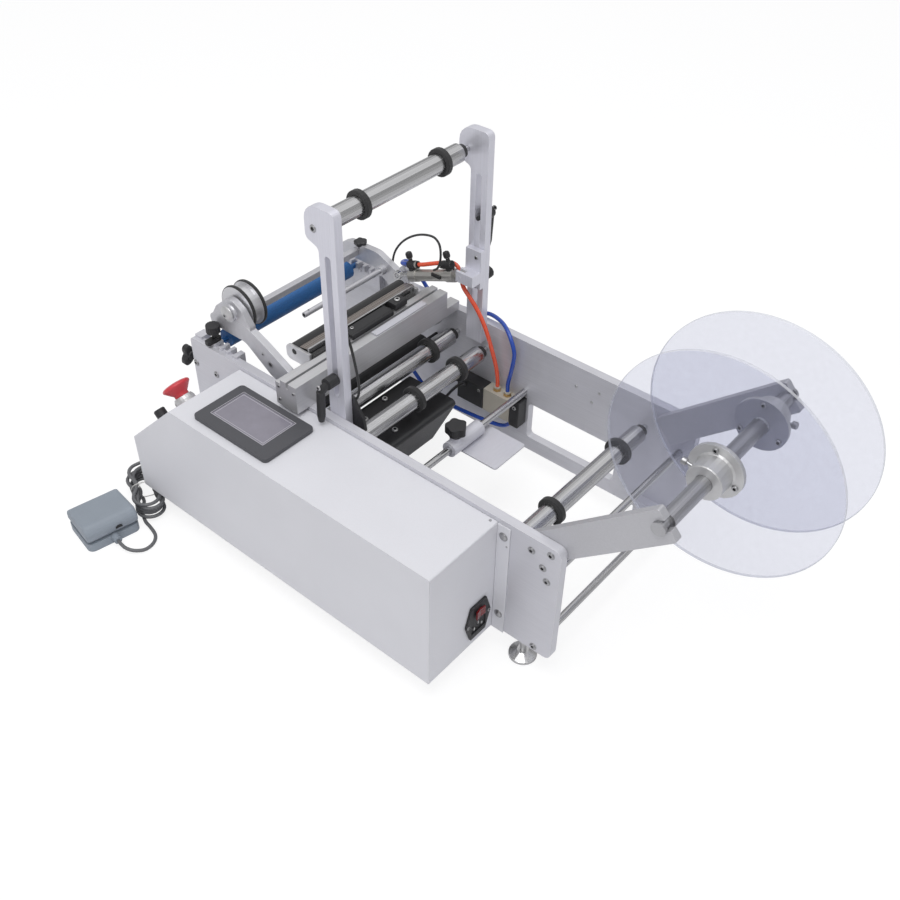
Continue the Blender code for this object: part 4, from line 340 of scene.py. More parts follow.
for look, names in NODE_LOOKS.items():
    for name in names:
        slots = nodes[name].data.materials
        slots.clear()
        slots.append(MATERIALS[look])


# Mesh helpers

EDGE_ANGLE = math.radians(40)
CURVE_STEPS = 12
TUBE_SPACING = 0.004
TUBE_SIDES = 14
TIP_RADIUS = 1e-5
MERGE_DISTANCE = 1e-6
KEY_SHARE = 0.56
KEY_FLOOR_SHARE = 0.35
KEY_TAPER = 0.94
CHAMFER_SHARE = 0.16
SCREW_STEPS = 24
# Looks of screws: their metal, then the painted shade inside the recess
SCREW_LOOKS = ("screw", "recess")
BRIGHT_SCREW_LOOKS = ("zinc", "recess")


def finish_mesh(name, bm, looks, body, smooth=35.0):
    """Turn a bmesh into a piece that rides on a body."""
    bmesh.ops.recalc_face_normals(bm, faces=bm.faces)
    mesh = bpy.data.meshes.new(name)
    bm.to_mesh(mesh)
    bm.free()
    for look in ([looks] if isinstance(looks, str) else looks):
        mesh.materials.append(MATERIALS[look])
    mesh.shade_smooth()
    mesh.set_sharp_from_angle(angle=math.radians(smooth))
    item = bpy.data.objects.new(name, mesh)
    bpy.context.scene.collection.objects.link(item)
    if body:
        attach(item, body)
    return item


def piece(name, bm, looks, body, smooth=35.0, edge=0.0):
    """Finish a mesh, round its edges, and give it its body."""
    item = finish_mesh(name, bm, looks, body, smooth)
    if edge:
        modifier = item.modifiers.new("edge", "BEVEL")
        modifier.width = edge
        modifier.segments = 2
        modifier.limit_method = "ANGLE"
        modifier.angle_limit = EDGE_ANGLE
    return item


def skin(bm, rings, cap=True, loop=False, material=0):
    """Join rings of equal length with quads, and cap the first and last."""
    made = [[bm.verts.new(point) for point in ring] for ring in rings]
    pairs = list(zip(made, made[1:])) + ([(made[-1], made[0])] if loop else [])
    faces = []
    for first, second in pairs:
        for i in range(len(first)):
            j = (i + 1) % len(first)
            faces.append(bm.faces.new((first[i], first[j], second[j], second[i])))
    if cap and not loop:
        faces.append(bm.faces.new(list(reversed(made[0]))))
        faces.append(bm.faces.new(made[-1]))
    for face in faces:
        face.material_index = material
    return faces


def frame_of(axis):
    """Two directions square to an axis."""
    axis = Vector(axis).normalized()
    side = Z if abs(axis.z) < 0.9 else X
    first = (side - axis * side.dot(axis)).normalized()
    return first, axis.cross(first)


def ring_points(centre, axis, radius, steps, sides=None):
    """A ring round an axis: a circle, or a polygon with that many sides."""
    first, second = frame_of(axis)
    points = []
    for step in range(steps):
        angle = 2 * math.pi * step / steps
        reach = radius
        if sides:
            slice_angle = 2 * math.pi / sides
            local = (angle + slice_angle / 2) % slice_angle - slice_angle / 2
            reach = radius * math.cos(slice_angle / 2) / math.cos(local)
        points.append(Vector(centre)
                      + (first * math.cos(angle) + second * math.sin(angle)) * reach)
    return points


def lathe(bm, profile, place, axis, steps=32, loop=False):
    """Spin (radius, distance) pairs round an axis that leaves the place."""
    axis = Vector(axis).normalized()
    rings = [ring_points(Vector(place) + axis * along, axis, max(radius, TIP_RADIUS), steps)
             for radius, along in profile]
    skin(bm, rings, loop=loop)


def stud(bm, place, axis, radius, height, steps=16):
    """A flat cylinder."""
    lathe(bm, ((radius, 0), (radius, height), (0, height)), place, axis, steps)


def block(bm, low, high):
    low, high = Vector(low), Vector(high)
    corners = [(low.x, low.y), (high.x, low.y), (high.x, high.y), (low.x, high.y)]
    skin(bm, [[Vector((x, y, z)) for x, y in corners] for z in (low.z, high.z)])


def outline_block(bm, outline, low, high):
    """Extrude an outline, whose points are (x, z), from one y to the other."""
    skin(bm, [[at(x, y, z) for x, z in outline] for y in (low, high)])


def lobed_knob(bm, place, axes, layers, lobes, depth, steps, turn=0.0):
    """Rings that swell at each lobe; axes are two across and the last along."""
    first, second, along = axes
    rings = []
    for distance, radius in layers:
        ring = []
        for step in range(steps):
            angle = 2 * math.pi * step / steps
            reach = radius * (1 + depth * math.cos(lobes * angle + turn))
            ring.append(place + along * distance
                        + (first * math.cos(angle) + second * math.sin(angle)) * reach)
        rings.append(ring)
    skin(bm, rings)


def socket_screw(bm, place, axis, radius, height):
    """A screw head with a hexagonal recess; the recess has the second material, a painted shade.
    """
    axis = Vector(axis).normalized()
    place = Vector(place)
    top = place + axis * height
    chamfer = radius * CHAMFER_SHARE
    key = radius * KEY_SHARE
    rim = ring_points(top, axis, key, SCREW_STEPS, 6)
    skin(bm, [ring_points(place, axis, radius, SCREW_STEPS),
              ring_points(top - axis * chamfer, axis, radius, SCREW_STEPS),
              ring_points(top, axis, radius - chamfer, SCREW_STEPS), rim], cap=False)
    bottom = ring_points(place + axis * height * KEY_FLOOR_SHARE, axis, key * KEY_TAPER,
                         SCREW_STEPS, 6)
    skin(bm, [rim, bottom], cap=False, material=1)
    bm.faces.new([bm.verts.new(point) for point in bottom]).material_index = 1
    bmesh.ops.remove_doubles(bm, verts=bm.verts, dist=MERGE_DISTANCE)


def screws(name, rows, body, looks=SCREW_LOOKS):
    """Socket screws; a row has a place, the way the head faces, and radius and height."""
    bm = bmesh.new()
    for place, way, size in rows:
        socket_screw(bm, place, way, *size)
    piece(name, bm, looks, body)


def blocks(name, rows, look, edge):
    """Blocks on the frame, each from one machine place to another."""
    bm = bmesh.new()
    for low, high in rows:
        block(bm, at(*low), at(*high))
    piece(name, bm, look, "frame", edge=edge)


def spun(name, profile, place, axis, steps, look, body, smooth=35.0):
    bm = bmesh.new()
    lathe(bm, profile, place, axis, steps)
    return piece(name, bm, look, body, smooth)


def washer(bm, place, axis, inner, outer, height):
    lathe(bm, ((inner, 0), (outer, 0), (outer, height), (inner, height)), place, axis,
          SCREW_STEPS, loop=True)


def smooth_points(route, spacing):
    """Even points on a smooth curve through the route."""
    route = [Vector(p) for p in route]
    ends = [route[0] * 2 - route[1]] + route + [route[-1] * 2 - route[-2]]
    dense = []
    for a, b, c, d in zip(ends, ends[1:], ends[2:], ends[3:]):
        for step in range(CURVE_STEPS):
            t = step / CURVE_STEPS
            dense.append((b * 2 + (c - a) * t + (a * 2 - b * 5 + c * 4 - d) * t ** 2
                          + (b * 3 - a - c * 3 + d) * t ** 3) / 2)
    dense.append(route[-1])
    points = [dense[0]]
    carried = 0.0
    total = sum((q - p).length for p, q in zip(dense, dense[1:]))
    count = max(2, round(total / spacing))
    step_length = total / count
    for p, q in zip(dense, dense[1:]):
        length = (q - p).length
        while carried + length >= step_length * len(points) - 1e-9 and len(points) < count:
            share = (step_length * len(points) - carried) / length
            points.append(p.lerp(q, share))
        carried += length
    points.append(dense[-1])
    return points


def tube(bm, points, radius, steps, loop=False):
    """A tube round a path, with rings that don't twist."""
    points = [Vector(p) for p in points]
    count = len(points)
    direction = (points[1] - points[-1 if loop else 0]).normalized()
    side = frame_of(direction)[0]
    rings = []
    for i, point in enumerate(points):
        before = points[i - 1] if (i or loop) else point
        after = points[(i + 1) % count] if (i < count - 1 or loop) else point
        direction = (after - before).normalized()
        side = (side - direction * side.dot(direction)).normalized()
        other = direction.cross(side)
        rings.append([point + (side * math.cos(a) + other * math.sin(a)) * radius
                      for a in (2 * math.pi * k / steps for k in range(steps))])
    skin(bm, rings, loop=loop)


def tube_piece(name, route, radius, look, body):
    bm = bmesh.new()
    tube(bm, smooth_points([at(*p) for p in route], TUBE_SPACING), radius, TUBE_SIDES)
    return finish_mesh(name, bm, look, body, 60)


# Pedal cord: from the pedal, through its tied hank, to the control box

CORD_RADIUS = 0.0025
HANK_PLACE = (-0.534, -0.117)
HANK_ANGLE = math.radians(-28)
FOLD_RADIUS = 0.0172
HALF_RUN = 0.0265
HANK_TURNS = 5.36
FIRST_TURN = 0.02
HANK_BOTTOM = 0.0032
TURN_RISE = 0.0053
LOOP_CENTRE = (-0.4794, -0.1781)
LOOP_RADIUS = 0.024
# In degrees: where the loop's points start, and the step from each to the next
LOOP_START = -99
LOOP_STEP = 21.5
LOOP_POINTS = 9
LOOP_HIGH = 0.0092
LOOP_FALL = 0.0016
FLOOR_GAP = 0.0002
CORD_START = [(-0.4897, -0.2005, 0.0095), (-0.4868, -0.2011, 0.0093)]
# The two points before the hank, measured on the hank
HANK_ENTRY = ((0.0580, -0.0085, 0.0028), (0.0450, -0.0125, 0.0030))
CORD_END = [(-0.5650, -0.0755, 0.0365), (-0.5580, -0.0650, 0.0415), (-0.5500, -0.0570, 0.0465),
            (-0.5410, -0.0515, 0.0495), (-0.5355, -0.0501, 0.0500), (-0.5312, -0.0500, 0.0500)]
CORD_SPACING = 0.0045
TURN_STEPS = 22

# Each turn has its own waist, tilt and shift, which change by a phase a turn
WAIST_SHARE = 0.30
WAIST_CHANGE = 0.16
WAIST_PHASE = 2.4
TILT = math.radians(6)
TILT_PHASE = 2.2
TILT_START = 0.5
SHIFT_X = 0.0020
SHIFT_X_PHASE = 2.1
SHIFT_Y = 0.0026
SHIFT_Y_PHASE = 2.9


def hank_point(x, y, z):
    """A point of the hank, whose length is its x, in machine coordinates."""
    cos, sin = math.cos(HANK_ANGLE), math.sin(HANK_ANGLE)
    return (HANK_PLACE[0] + cos * x - sin * y, HANK_PLACE[1] + sin * x + cos * y, z)


def hank_turn(turns):
    """The cord's place after that many turns: a long loop whose turns fan out."""
    around = 4 * HALF_RUN + 2 * math.pi * FOLD_RADIUS
    along = (turns % 1.0) * around
    fold = math.pi * FOLD_RADIUS
    if along < 2 * HALF_RUN:
        x, y = HALF_RUN - along, -FOLD_RADIUS
    elif along < 2 * HALF_RUN + fold:
        angle = -math.pi / 2 - (along - 2 * HALF_RUN) / FOLD_RADIUS
        x, y = -HALF_RUN + FOLD_RADIUS * math.cos(angle), FOLD_RADIUS * math.sin(angle)
    elif along < 4 * HALF_RUN + fold:
        x, y = along - 2 * HALF_RUN - fold - HALF_RUN, FOLD_RADIUS
    else:
        angle = math.pi / 2 - (along - 4 * HALF_RUN - fold) / FOLD_RADIUS
        x, y = HALF_RUN + FOLD_RADIUS * math.cos(angle), FOLD_RADIUS * math.sin(angle)
    waist = WAIST_SHARE + WAIST_CHANGE * math.cos(WAIST_PHASE * turns)
    if abs(x) < HALF_RUN:
        y *= 1 - waist * math.cos(math.pi * x / (2 * HALF_RUN)) ** 2
    tilt = TILT * math.sin(TILT_PHASE * turns + TILT_START)
    x, y = (x * math.cos(tilt) - y * math.sin(tilt), x * math.sin(tilt) + y * math.cos(tilt))
    y += SHIFT_Y * math.cos(SHIFT_Y_PHASE * turns)
    x += SHIFT_X * math.sin(SHIFT_X_PHASE * turns)
    return hank_point(x, y, HANK_BOTTOM + TURN_RISE * turns)


def pedal_cord_route():
    route = list(CORD_START)
    for step in range(LOOP_POINTS):
        angle = math.radians(LOOP_START + LOOP_STEP * step)
        height = max(LOOP_HIGH - LOOP_FALL * step, CORD_RADIUS + FLOOR_GAP)
        route.append((LOOP_CENTRE[0] + LOOP_RADIUS * math.cos(angle),
                      LOOP_CENTRE[1] + LOOP_RADIUS * math.sin(angle), height))
    route += [hank_point(*point) for point in HANK_ENTRY]
    steps = round(HANK_TURNS * TURN_STEPS)
    route += [hank_turn(FIRST_TURN + (HANK_TURNS - FIRST_TURN) * step / steps)
              for step in range(steps + 1)]
    return route + CORD_END


def make_pedal_cord():
    points = smooth_points([at(*p) for p in pedal_cord_route()], CORD_SPACING)
    curve = bpy.data.curves.new("foot_pedal_cord", "CURVE")
    curve.dimensions = "3D"
    curve.bevel_depth = CORD_RADIUS
    curve.bevel_resolution = 4
    curve.use_fill_caps = True
    spline = curve.splines.new("POLY")
    spline.points.add(len(points) - 1)
    for target, point in zip(spline.points, points):
        target.co = (*point, 1)
        target.radius = 1
    curve.materials.append(MATERIALS["cord"])
    cord = bpy.data.objects.new("foot_pedal_cord", curve)
    bpy.context.scene.collection.objects.link(cord)
    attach(cord, "frame")
    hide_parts("pedal_cord", "pedal_cord_hank", "box_cord")
    return cord, points


TIE_RADIUS = 0.0007
TWIST_RADIUS = 0.0009
TIE_X = -0.004
TIE_SLANT = 0.003
TIE_HALF_WIDTH = 0.0205
TIE_LOW = 0.0007
TIE_HIGH = 0.0338
TIE_STEPS = 40
TIE_SIDES = 8
TWIST_SPACING = 0.002
# How square the loop is across and up: 1 is an ellipse, and less is squarer
TIE_SQUARENESS = (0.55, 0.75)
TWIST = ((0.003, -0.004, 0), (0.006, -0.007, 0.0015), (0.012, -0.010, 0.0008))


def make_hank_tie():
    """A twisted wire tie round the middle of the hank."""
    bm = bmesh.new()
    middle, half = (TIE_LOW + TIE_HIGH) / 2, (TIE_HIGH - TIE_LOW) / 2
    loop = []
    for step in range(TIE_STEPS):
        angle = 2 * math.pi * step / TIE_STEPS
        c, s = math.cos(angle), math.sin(angle)
        y = TIE_HALF_WIDTH * math.copysign(abs(c) ** TIE_SQUARENESS[0], c)
        z = middle + half * math.copysign(abs(s) ** TIE_SQUARENESS[1], s)
        loop.append(at(*hank_point(TIE_X + TIE_SLANT * s, y, z)))
    tube(bm, loop, TIE_RADIUS, TIE_SIDES, loop=True)
    ends = [at(*hank_point(TIE_X + x, y, TIE_HIGH + z)) for x, y, z in TWIST]
    tube(bm, smooth_points(ends, TWIST_SPACING), TWIST_RADIUS, TIE_SIDES)
    return piece("hank_tie", bm, "tie", "frame", 60)


pedal_cord, cord_points = make_pedal_cord()
hank_tie = make_hank_tie()


# Air tubes and leads

ORANGE_ROUTE = (
    (-0.3490, 0.2620, 0.2916), (-0.3400, 0.2620, 0.2953), (-0.3260, 0.2640, 0.3015),
    (-0.3090, 0.2705, 0.3070), (-0.2970, 0.2755, 0.3080), (-0.2880, 0.2757, 0.3025),
    (-0.2835, 0.2752, 0.2920), (-0.2770, 0.2715, 0.2815), (-0.2640, 0.2695, 0.2715),
    (-0.2530, 0.2705, 0.2590), (-0.2445, 0.2735, 0.2420), (-0.2370, 0.2760, 0.2230),
    (-0.2290, 0.2790, 0.1960), (-0.2220, 0.2830, 0.1640), (-0.2190, 0.2837, 0.1420),
    (-0.2190, 0.2837, 0.1335),
)
BLUE_ROUTE = (
    (-0.3700, 0.2620, 0.2842), (-0.3790, 0.2630, 0.2808), (-0.3860, 0.2690, 0.2775),
    (-0.3885, 0.2780, 0.2745), (-0.3890, 0.2875, 0.2670), (-0.3880, 0.2930, 0.2540),
    (-0.3865, 0.3010, 0.2400), (-0.3840, 0.3100, 0.2290), (-0.3740, 0.3120, 0.2170),
    (-0.3505, 0.3120, 0.2130), (-0.3126, 0.3120, 0.2130), (-0.2800, 0.3120, 0.2180),
    (-0.2564, 0.3090, 0.2270), (-0.2314, 0.3010, 0.2300), (-0.2130, 0.2910, 0.2290),
    (-0.1990, 0.2845, 0.2180), (-0.1930, 0.2835, 0.2000), (-0.1960, 0.2835, 0.1720),
    (-0.2005, 0.2837, 0.1480), (-0.2005, 0.2837, 0.1335),
)
SENSOR_ROUTE = (
    (-0.3110, 0.2490, 0.3040), (-0.3030, 0.2480, 0.3110), (-0.2995, 0.2490, 0.3235),
    (-0.3030, 0.2535, 0.3350), (-0.3129, 0.2610, 0.3400), (-0.3310, 0.2700, 0.3386),
    (-0.3562, 0.2760, 0.3296), (-0.3811, 0.2810, 0.3145), (-0.4039, 0.2860, 0.2938),
    (-0.4189, 0.2885, 0.2713), (-0.4244, 0.2895, 0.2480), (-0.4240, 0.2905, 0.2200),
    (-0.4235, 0.2915, 0.1960),
)
LOWER_BLUE_ROUTE = (
    (-0.1930, 0.2830, 0.0846), (-0.1950, 0.2830, 0.0760), (-0.2050, 0.2815, 0.0690),
    (-0.2250, 0.2790, 0.0660), (-0.2550, 0.2755, 0.0655), (-0.2850, 0.2725, 0.0660),
    (-0.3150, 0.2700, 0.0680), (-0.3450, 0.2705, 0.0760), (-0.3700, 0.2740, 0.0900),
)

AIR_TUBE_RADIUS = 0.003
SENSOR_LEAD_RADIUS = 0.0016

# Name, route, radius, look, node, and drop
MOVING_LINES = (
    ("orange_air_tube", ORANGE_ROUTE, AIR_TUBE_RADIUS, "orange_tube", "air_tube_orange", 0.11),
    ("blue_air_tube", BLUE_ROUTE, AIR_TUBE_RADIUS, "blue_tube", "air_tube_blue", 0.10),
    ("reed_sensor_lead", SENSOR_ROUTE, SENSOR_LEAD_RADIUS, "rubber", "cylinder_sensor_lead",
     0.10),
)


def make_lines():
    for name, route, radius, look, node, drop in MOVING_LINES:
        item = tube_piece(name, route, radius, look, None)
        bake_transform(item)
        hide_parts(node)
    lower = tube_piece("lower_blue_tube", LOWER_BLUE_ROUTE, AIR_TUBE_RADIUS, "blue_tube",
                       "frame")


make_lines()


# Reel: clear discs with polished edges, and the hubs' screws

DISC_BORE = 0.0104
DISC_CHAMFER = 0.0006
EDGE_BAND = 0.0008
BORE_BAND = 0.001
HUB_FLANGE = 0.005
HUB_SCREW_CIRCLE = 0.0268
HUB_SCREW = (0.0036, 0.0022)
BOSS_SEAT = 0.0195
NEAR_CLAMP_Y = 0.110
FAR_CLAMP_Y = 0.240
CLAMP_SCREW = ((0.0018, 0), (0.0018, 0.009), (0.0040, 0.009), (0.0044, 0.0098),
               (0.0044, 0.0142), (0.0038, 0.015), (0.0, 0.015))


def make_disc(name, node, body):
    low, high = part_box(node)
    centre = (low + high) / 2
    radius = (high.x - low.x) / 2
    half = (high.y - low.y) / 2
    flat = radius - DISC_CHAMFER
    bm = bmesh.new()
    lathe(bm, ((DISC_BORE, -half), (flat, -half), (radius, -half + DISC_CHAMFER),
               (radius, half - DISC_CHAMFER), (flat, half), (DISC_BORE, half)),
          centre, Y, 160, loop=True)
    for face in bm.faces:
        away = face.calc_center_median() - centre
        away.y = 0
        if away.length > radius - EDGE_BAND or away.length < DISC_BORE + BORE_BAND:
            face.material_index = 1
    disc = piece(name, bm, ("acrylic", "acrylic_edge"), body, 30)
    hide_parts(node)


def around_reel(y, radius, degrees):
    angle = math.radians(degrees)
    centre = middle_of("reel_shaft")
    return Vector((centre.x + radius * math.cos(angle), y,
                   centre.z + radius * math.sin(angle)))


def make_hub_screws(name, body, face_y, angles, clamp_y, clamp_angle):
    """Three socket screws in the hub's flange and a clamping screw in its boss."""
    bm = bmesh.new()
    for degrees in angles:
        socket_screw(bm, around_reel(face_y, HUB_SCREW_CIRCLE, degrees), -Y, *HUB_SCREW)
    y = OFFSET.y + clamp_y
    direction = around_reel(y, 1, clamp_angle) - around_reel(y, 0, clamp_angle)
    lathe(bm, CLAMP_SCREW, around_reel(y, BOSS_SEAT, clamp_angle), direction, 20)
    piece(name, bm, SCREW_LOOKS, body)


make_disc("clear_disc_near", "reel_disc_near", "reel_near_side")
make_disc("clear_disc_far", "reel_disc_far", "reel")
make_hub_screws("hub_screws_near", "reel_near_side",
                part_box("reel_hub_near")[1].y - HUB_FLANGE, (100, -20, 220), NEAR_CLAMP_Y, 172)
make_hub_screws("hub_screws_far", "reel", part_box("reel_hub_far")[0].y,
                (95, -25, 215), FAR_CLAMP_Y, 10)


# Side plates: screws where rods and axles end, screws of their own, and small studs

PLATE_THICKNESS = 0.012
PLATE_WASHER = (0.0030, 0.0052, 0.0003)
PLATE_SCREW = (0.0040, 0.0016)
REAR_SCREWS = ((0.048, 0.202), (0.074, 0.211), (0.065, 0.185), (0.072, 0.167))
FRONT_SCREWS = ((-0.530, 0.181), (-0.488, 0.181))
FAR_SCREWS = ((-0.095, 0.190), (-0.068, 0.176), (-0.264, 0.205), (-0.264, 0.150))
FAR_AXLES = ("tie_rod_lower", "upper_feed_roller", "lower_feed_roller", "traction_roller",
             "guide_rod", "rear_roller")
STUDS = ((-0.095, 0.190), (-0.068, 0.176), (-0.058, 0.196))
STUD_PROFILE = ((0.0022, 0), (0.0022, 0.0006), (0.0016, 0.001), (0.0, 0.001))


def make_plate_screws():
    bm = bmesh.new()
    far_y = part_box("far_side_plate")[1].y
    for y, way, chosen, axles in (
            (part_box("near_side_plate")[0].y, -Y, REAR_SCREWS + FRONT_SCREWS, FAR_AXLES[:1]),
            (far_y, Y, REAR_SCREWS + FAR_SCREWS, FAR_AXLES)):
        places = [at(x, 0, z) for x, z in chosen] + [middle_of(axle) for axle in axles]
        for place in places:
            place.y = y
            washer(bm, place, way, *PLATE_WASHER)
            socket_screw(bm, place, way, *PLATE_SCREW)
    piece("side_plate_screws", bm, SCREW_LOOKS, "frame")
    bm = bmesh.new()
    for x, z in STUDS:
        place = at(x, 0, z)
        place.y = far_y - PLATE_THICKNESS
        lathe(bm, STUD_PROFILE, place, -Y, 16)
    piece("far_plate_studs", bm, "zinc", "frame")


make_plate_screws()


# Control box: the flange beside the plate, its screws and the lid's rivets

FLANGE = (((0.0002, -0.0016, 0.036), (0.0185, -0.0002, 0.2155)),)
FLANGE_EDGE = 0.0004
FLANGE_WASHER = (0.0030, 0.0060, 0.0004)
FLANGE_SCREW_PLACES = ((0.0095, -0.0016, 0.199), (0.0095, -0.0016, 0.066))
FLANGE_SCREW_LIFT = 0.0002
FLANGE_SCREW = ((0.0048, 0), (0.0048, 0.0008), (0.0030, 0.0022), (0.0, 0.0024))
LID_RIVET_PLACE = (-0.008, -0.0045, BOX_TOP)
LID_RIVET = (0.0018, 0.0003)
FLANGE_RIVET_PLACE = (0.0150, -0.0016, 0.186)
FLANGE_RIVET = (0.0014, 0.0003)


def make_box_details():
    blocks("box_rear_flange", FLANGE, "powder_coat", FLANGE_EDGE)
    bm = bmesh.new()
    for place in FLANGE_SCREW_PLACES:
        washer(bm, at(*place), -Y, *FLANGE_WASHER)
        lathe(bm, FLANGE_SCREW, at(*place) - Y * FLANGE_SCREW_LIFT, -Y, 24)
    stud(bm, at(*LID_RIVET_PLACE), Z, *LID_RIVET)
    stud(bm, at(*FLANGE_RIVET_PLACE), -Y, *FLANGE_RIVET, steps=12)
    piece("box_flange_screws", bm, "screw", "frame")


make_box_details()


# Stop button: a tapered mushroom head over its stem, square to the box's slope

SLOPE_RUN = 0.096
SLOPE_DROP = 0.094
STOP_SEAT = (-0.4611, -0.075, 0.1969)
STOP_HEAD = ((0.0, 0.0002), (0.0098, 0.0002), (0.0099, 0.0088), (0.0125, 0.0112),
             (0.0180, 0.0172), (0.0193, 0.0184), (0.0196, 0.0200), (0.0190, 0.0216),
             (0.0170, 0.0230), (0.0120, 0.0242), (0.0060, 0.0248), (0.0, 0.0250))


def make_stop_head():
    head = spun("stop_head", STOP_HEAD, at(*STOP_SEAT), (-SLOPE_DROP, 0, SLOPE_RUN), 56,
                "red", "stop_button", 50)
    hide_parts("stop_button")


make_stop_head()


# Touch panel: the screen, and two thin frames, one on it and one round its opening

SCREEN_LENGTH = 0.094
SCREEN_WIDTH = 0.0535
SCREEN_SHIFT = Vector((-0.004, 0.0035, 0))
SCREEN_SINK = 0.0005
SCREEN_THICKNESS = 0.0006
# Inset from the screen's edge, width, start above the panel's top, and height
SCREEN_FRAMES = ((0.0022, 0.0007, -SCREEN_SINK, 0.00005), (-0.0012, 0.0008, 0.0, 0.0003))


def make_screen():
    centre = middle_of("touch_panel") + SCREEN_SHIFT
    centre.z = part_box("touch_panel")[1].z
    half = Vector((SCREEN_LENGTH / 2, SCREEN_WIDTH / 2, 0))
    bm = bmesh.new()
    block(bm, centre - half - Z * (SCREEN_SINK + SCREEN_THICKNESS),
          centre + half - Z * SCREEN_SINK)
    piece("panel_screen", bm, "screen", "frame")
    bm = bmesh.new()
    for inset, width, start, height in SCREEN_FRAMES:
        a, b = half.x - inset, half.y - inset
        for low_x, low_y, high_x, high_y in (
                (-a, -b, a, -b + width), (-a, b - width, a, b),
                (-a, -b + width, -a + width, b - width),
                (a - width, -b + width, a, b - width)):
            block(bm, centre + Vector((low_x, low_y, start)),
                  centre + Vector((high_x, high_y, start + height)))
    piece("panel_screen_border", bm, "screen_line", "frame")


make_screen()


# Mains inlet: contact pins and fixing screws

SOCKET_BELOW = 0.0105
PIN_PLACES = ((0, 0.0042), (-0.007, -0.0022), (0.007, -0.0022))
PIN_HALF = Vector((0.0012, 0.001, 0.0022))
PIN_X = 0.0018
INLET_SCREW_SIDE = 0.0195
INLET_SCREW = (0.0024, 0.0009)


def make_inlet_details():
    middle = middle_of("power_inlet")
    face = Vector((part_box("power_inlet")[1].x, middle.y, middle.z))
    socket = Vector((OFFSET.x + PIN_X, middle.y, middle.z - SOCKET_BELOW))
    bm = bmesh.new()
    for y, z in PIN_PLACES:
        pin = socket + Y * y + Z * z
        block(bm, pin - PIN_HALF, pin + PIN_HALF)
    piece("inlet_pins", bm, "zinc", "frame")
    screws("inlet_screws", [(face + Y * side, X, INLET_SCREW)
                            for side in (-INLET_SCREW_SIDE, INLET_SCREW_SIDE)],
           "frame")


make_inlet_details()


# Press unit: rubber rings on the drum, cap on its axle, screws, and the knob on the far arm

O_RING = ((0.0296, -0.0021), (0.0308, -0.0026), (0.0317, -0.0020), (0.0321, 0.0),
          (0.0317, 0.0020), (0.0308, 0.0026), (0.0296, 0.0021))
O_RING_INSET = 0.0025
AXLE_CAP_Y = 0.0164
AXLE_CAP = ((0.0, 0), (0.0120, 0), (0.0117, 0.0008), (0.0088, 0.0026), (0.0056, 0.0040),
            (0.0040, 0.0043), (0.0, 0.0043))
AXLE_SCREW_Y = 0.0121
AXLE_SCREW = (0.0031, 0.0008)
ARM_SCREW_PLACE = (-0.4110, 0.0225, 0.2400)
ARM_SCREW = (0.0024, 0.0008)
ARM_HOLE_PLACE = (-0.398, 0.0225, 0.229)
ARM_HOLE_WASHER = (0.0030, 0.0052, 0.0004)
PIVOTS = (((-0.336, 0.0225, 0.204), -Y), ((-0.336, 0.2835, 0.204), Y))
PIVOT_SCREW = (0.0056, 0.0030)
ARM_KNOB_PLACE = (-0.477, 0.2785, 0.2620)
ARM_KNOB = ((0, 0.005), (0.004, 0.005), (0.0045, 0.0078), (0.006, 0.0092),
            (0.0105, 0.0092), (0.0118, 0.0078))
# Place, direction, radius, height and steps of dark discs of painted shade in the bores
BORE_SHADE_DISCS = (((-0.4285, 0.1145, 0.247), -Y, 0.0025, 0.0003, 24),
              ((-0.4285, 0.1235, 0.2509), Z, 0.0012, 0.0004, 16),
              (ARM_HOLE_PLACE, -Y, 0.0034, 0.0002, 24))


def make_press_details():
    low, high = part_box("press_drum")
    drum = (low + high) / 2
    bm = bmesh.new()
    for y in (low.y + O_RING_INSET, high.y - O_RING_INSET):
        lathe(bm, O_RING, (drum.x, y, drum.z), Y, 96, loop=True)
    piece("drum_o_rings", bm, "rubber", "press_drum", 60)
    spun("drum_axle_cap", AXLE_CAP, (drum.x, OFFSET.y + AXLE_CAP_Y, drum.z), -Y, 48,
         "turned", "press", 50)
    bm = bmesh.new()
    socket_screw(bm, (drum.x, OFFSET.y + AXLE_SCREW_Y, drum.z), -Y, *AXLE_SCREW)
    socket_screw(bm, at(*ARM_SCREW_PLACE), -Y, *ARM_SCREW)
    washer(bm, at(*ARM_HOLE_PLACE), -Y, *ARM_HOLE_WASHER)
    for place, way in PIVOTS:
        socket_screw(bm, at(*place), way, *PIVOT_SCREW)
    piece("press_arm_screws", bm, SCREW_LOOKS, "press")
    bm = bmesh.new()
    lobed_knob(bm, at(*ARM_KNOB_PLACE), (X, Y, Z), ARM_KNOB, 5, 0.10, 60)
    piece("far_arm_knob", bm, "black_plastic", "press", 40)
    # Painted shade: thin dark discs stand in for the shade inside the bores.
    bm = bmesh.new()
    for place, way, radius, height, steps in BORE_SHADE_DISCS:
        stud(bm, at(*place), way, radius, height, steps)
    piece("press_bore_shade", bm, "recess", "press")


make_press_details()


# Clamp levers' screws, and the three-lobed knob on the near plate's front edge

LEVER_SCREW = (0.0034, 0.0012)
NEAR_LEVER_Z = 0.279
FAR_LEVER_DROP = 0.008
LEVER_X = -0.2668
FRONT_KNOB_PLACE = (-0.535, 0.006, 0.183)
FRONT_KNOB_HUB = ((0.003, 0), (0.003, 0.008), (0.0065, 0.009), (0.0075, 0.011),
                  (0.0075, 0.016), (0.0, 0.016))
FRONT_KNOB = ((0.011, 0.010625), (0.0125, 0.0125), (0.020, 0.0125), (0.022, 0.01075))


def make_lever_screw(name, y, z, way):
    screws(name + "_screw", [((OFFSET.x + LEVER_X, y, z), way, LEVER_SCREW)], name,
           BRIGHT_SCREW_LOOKS)


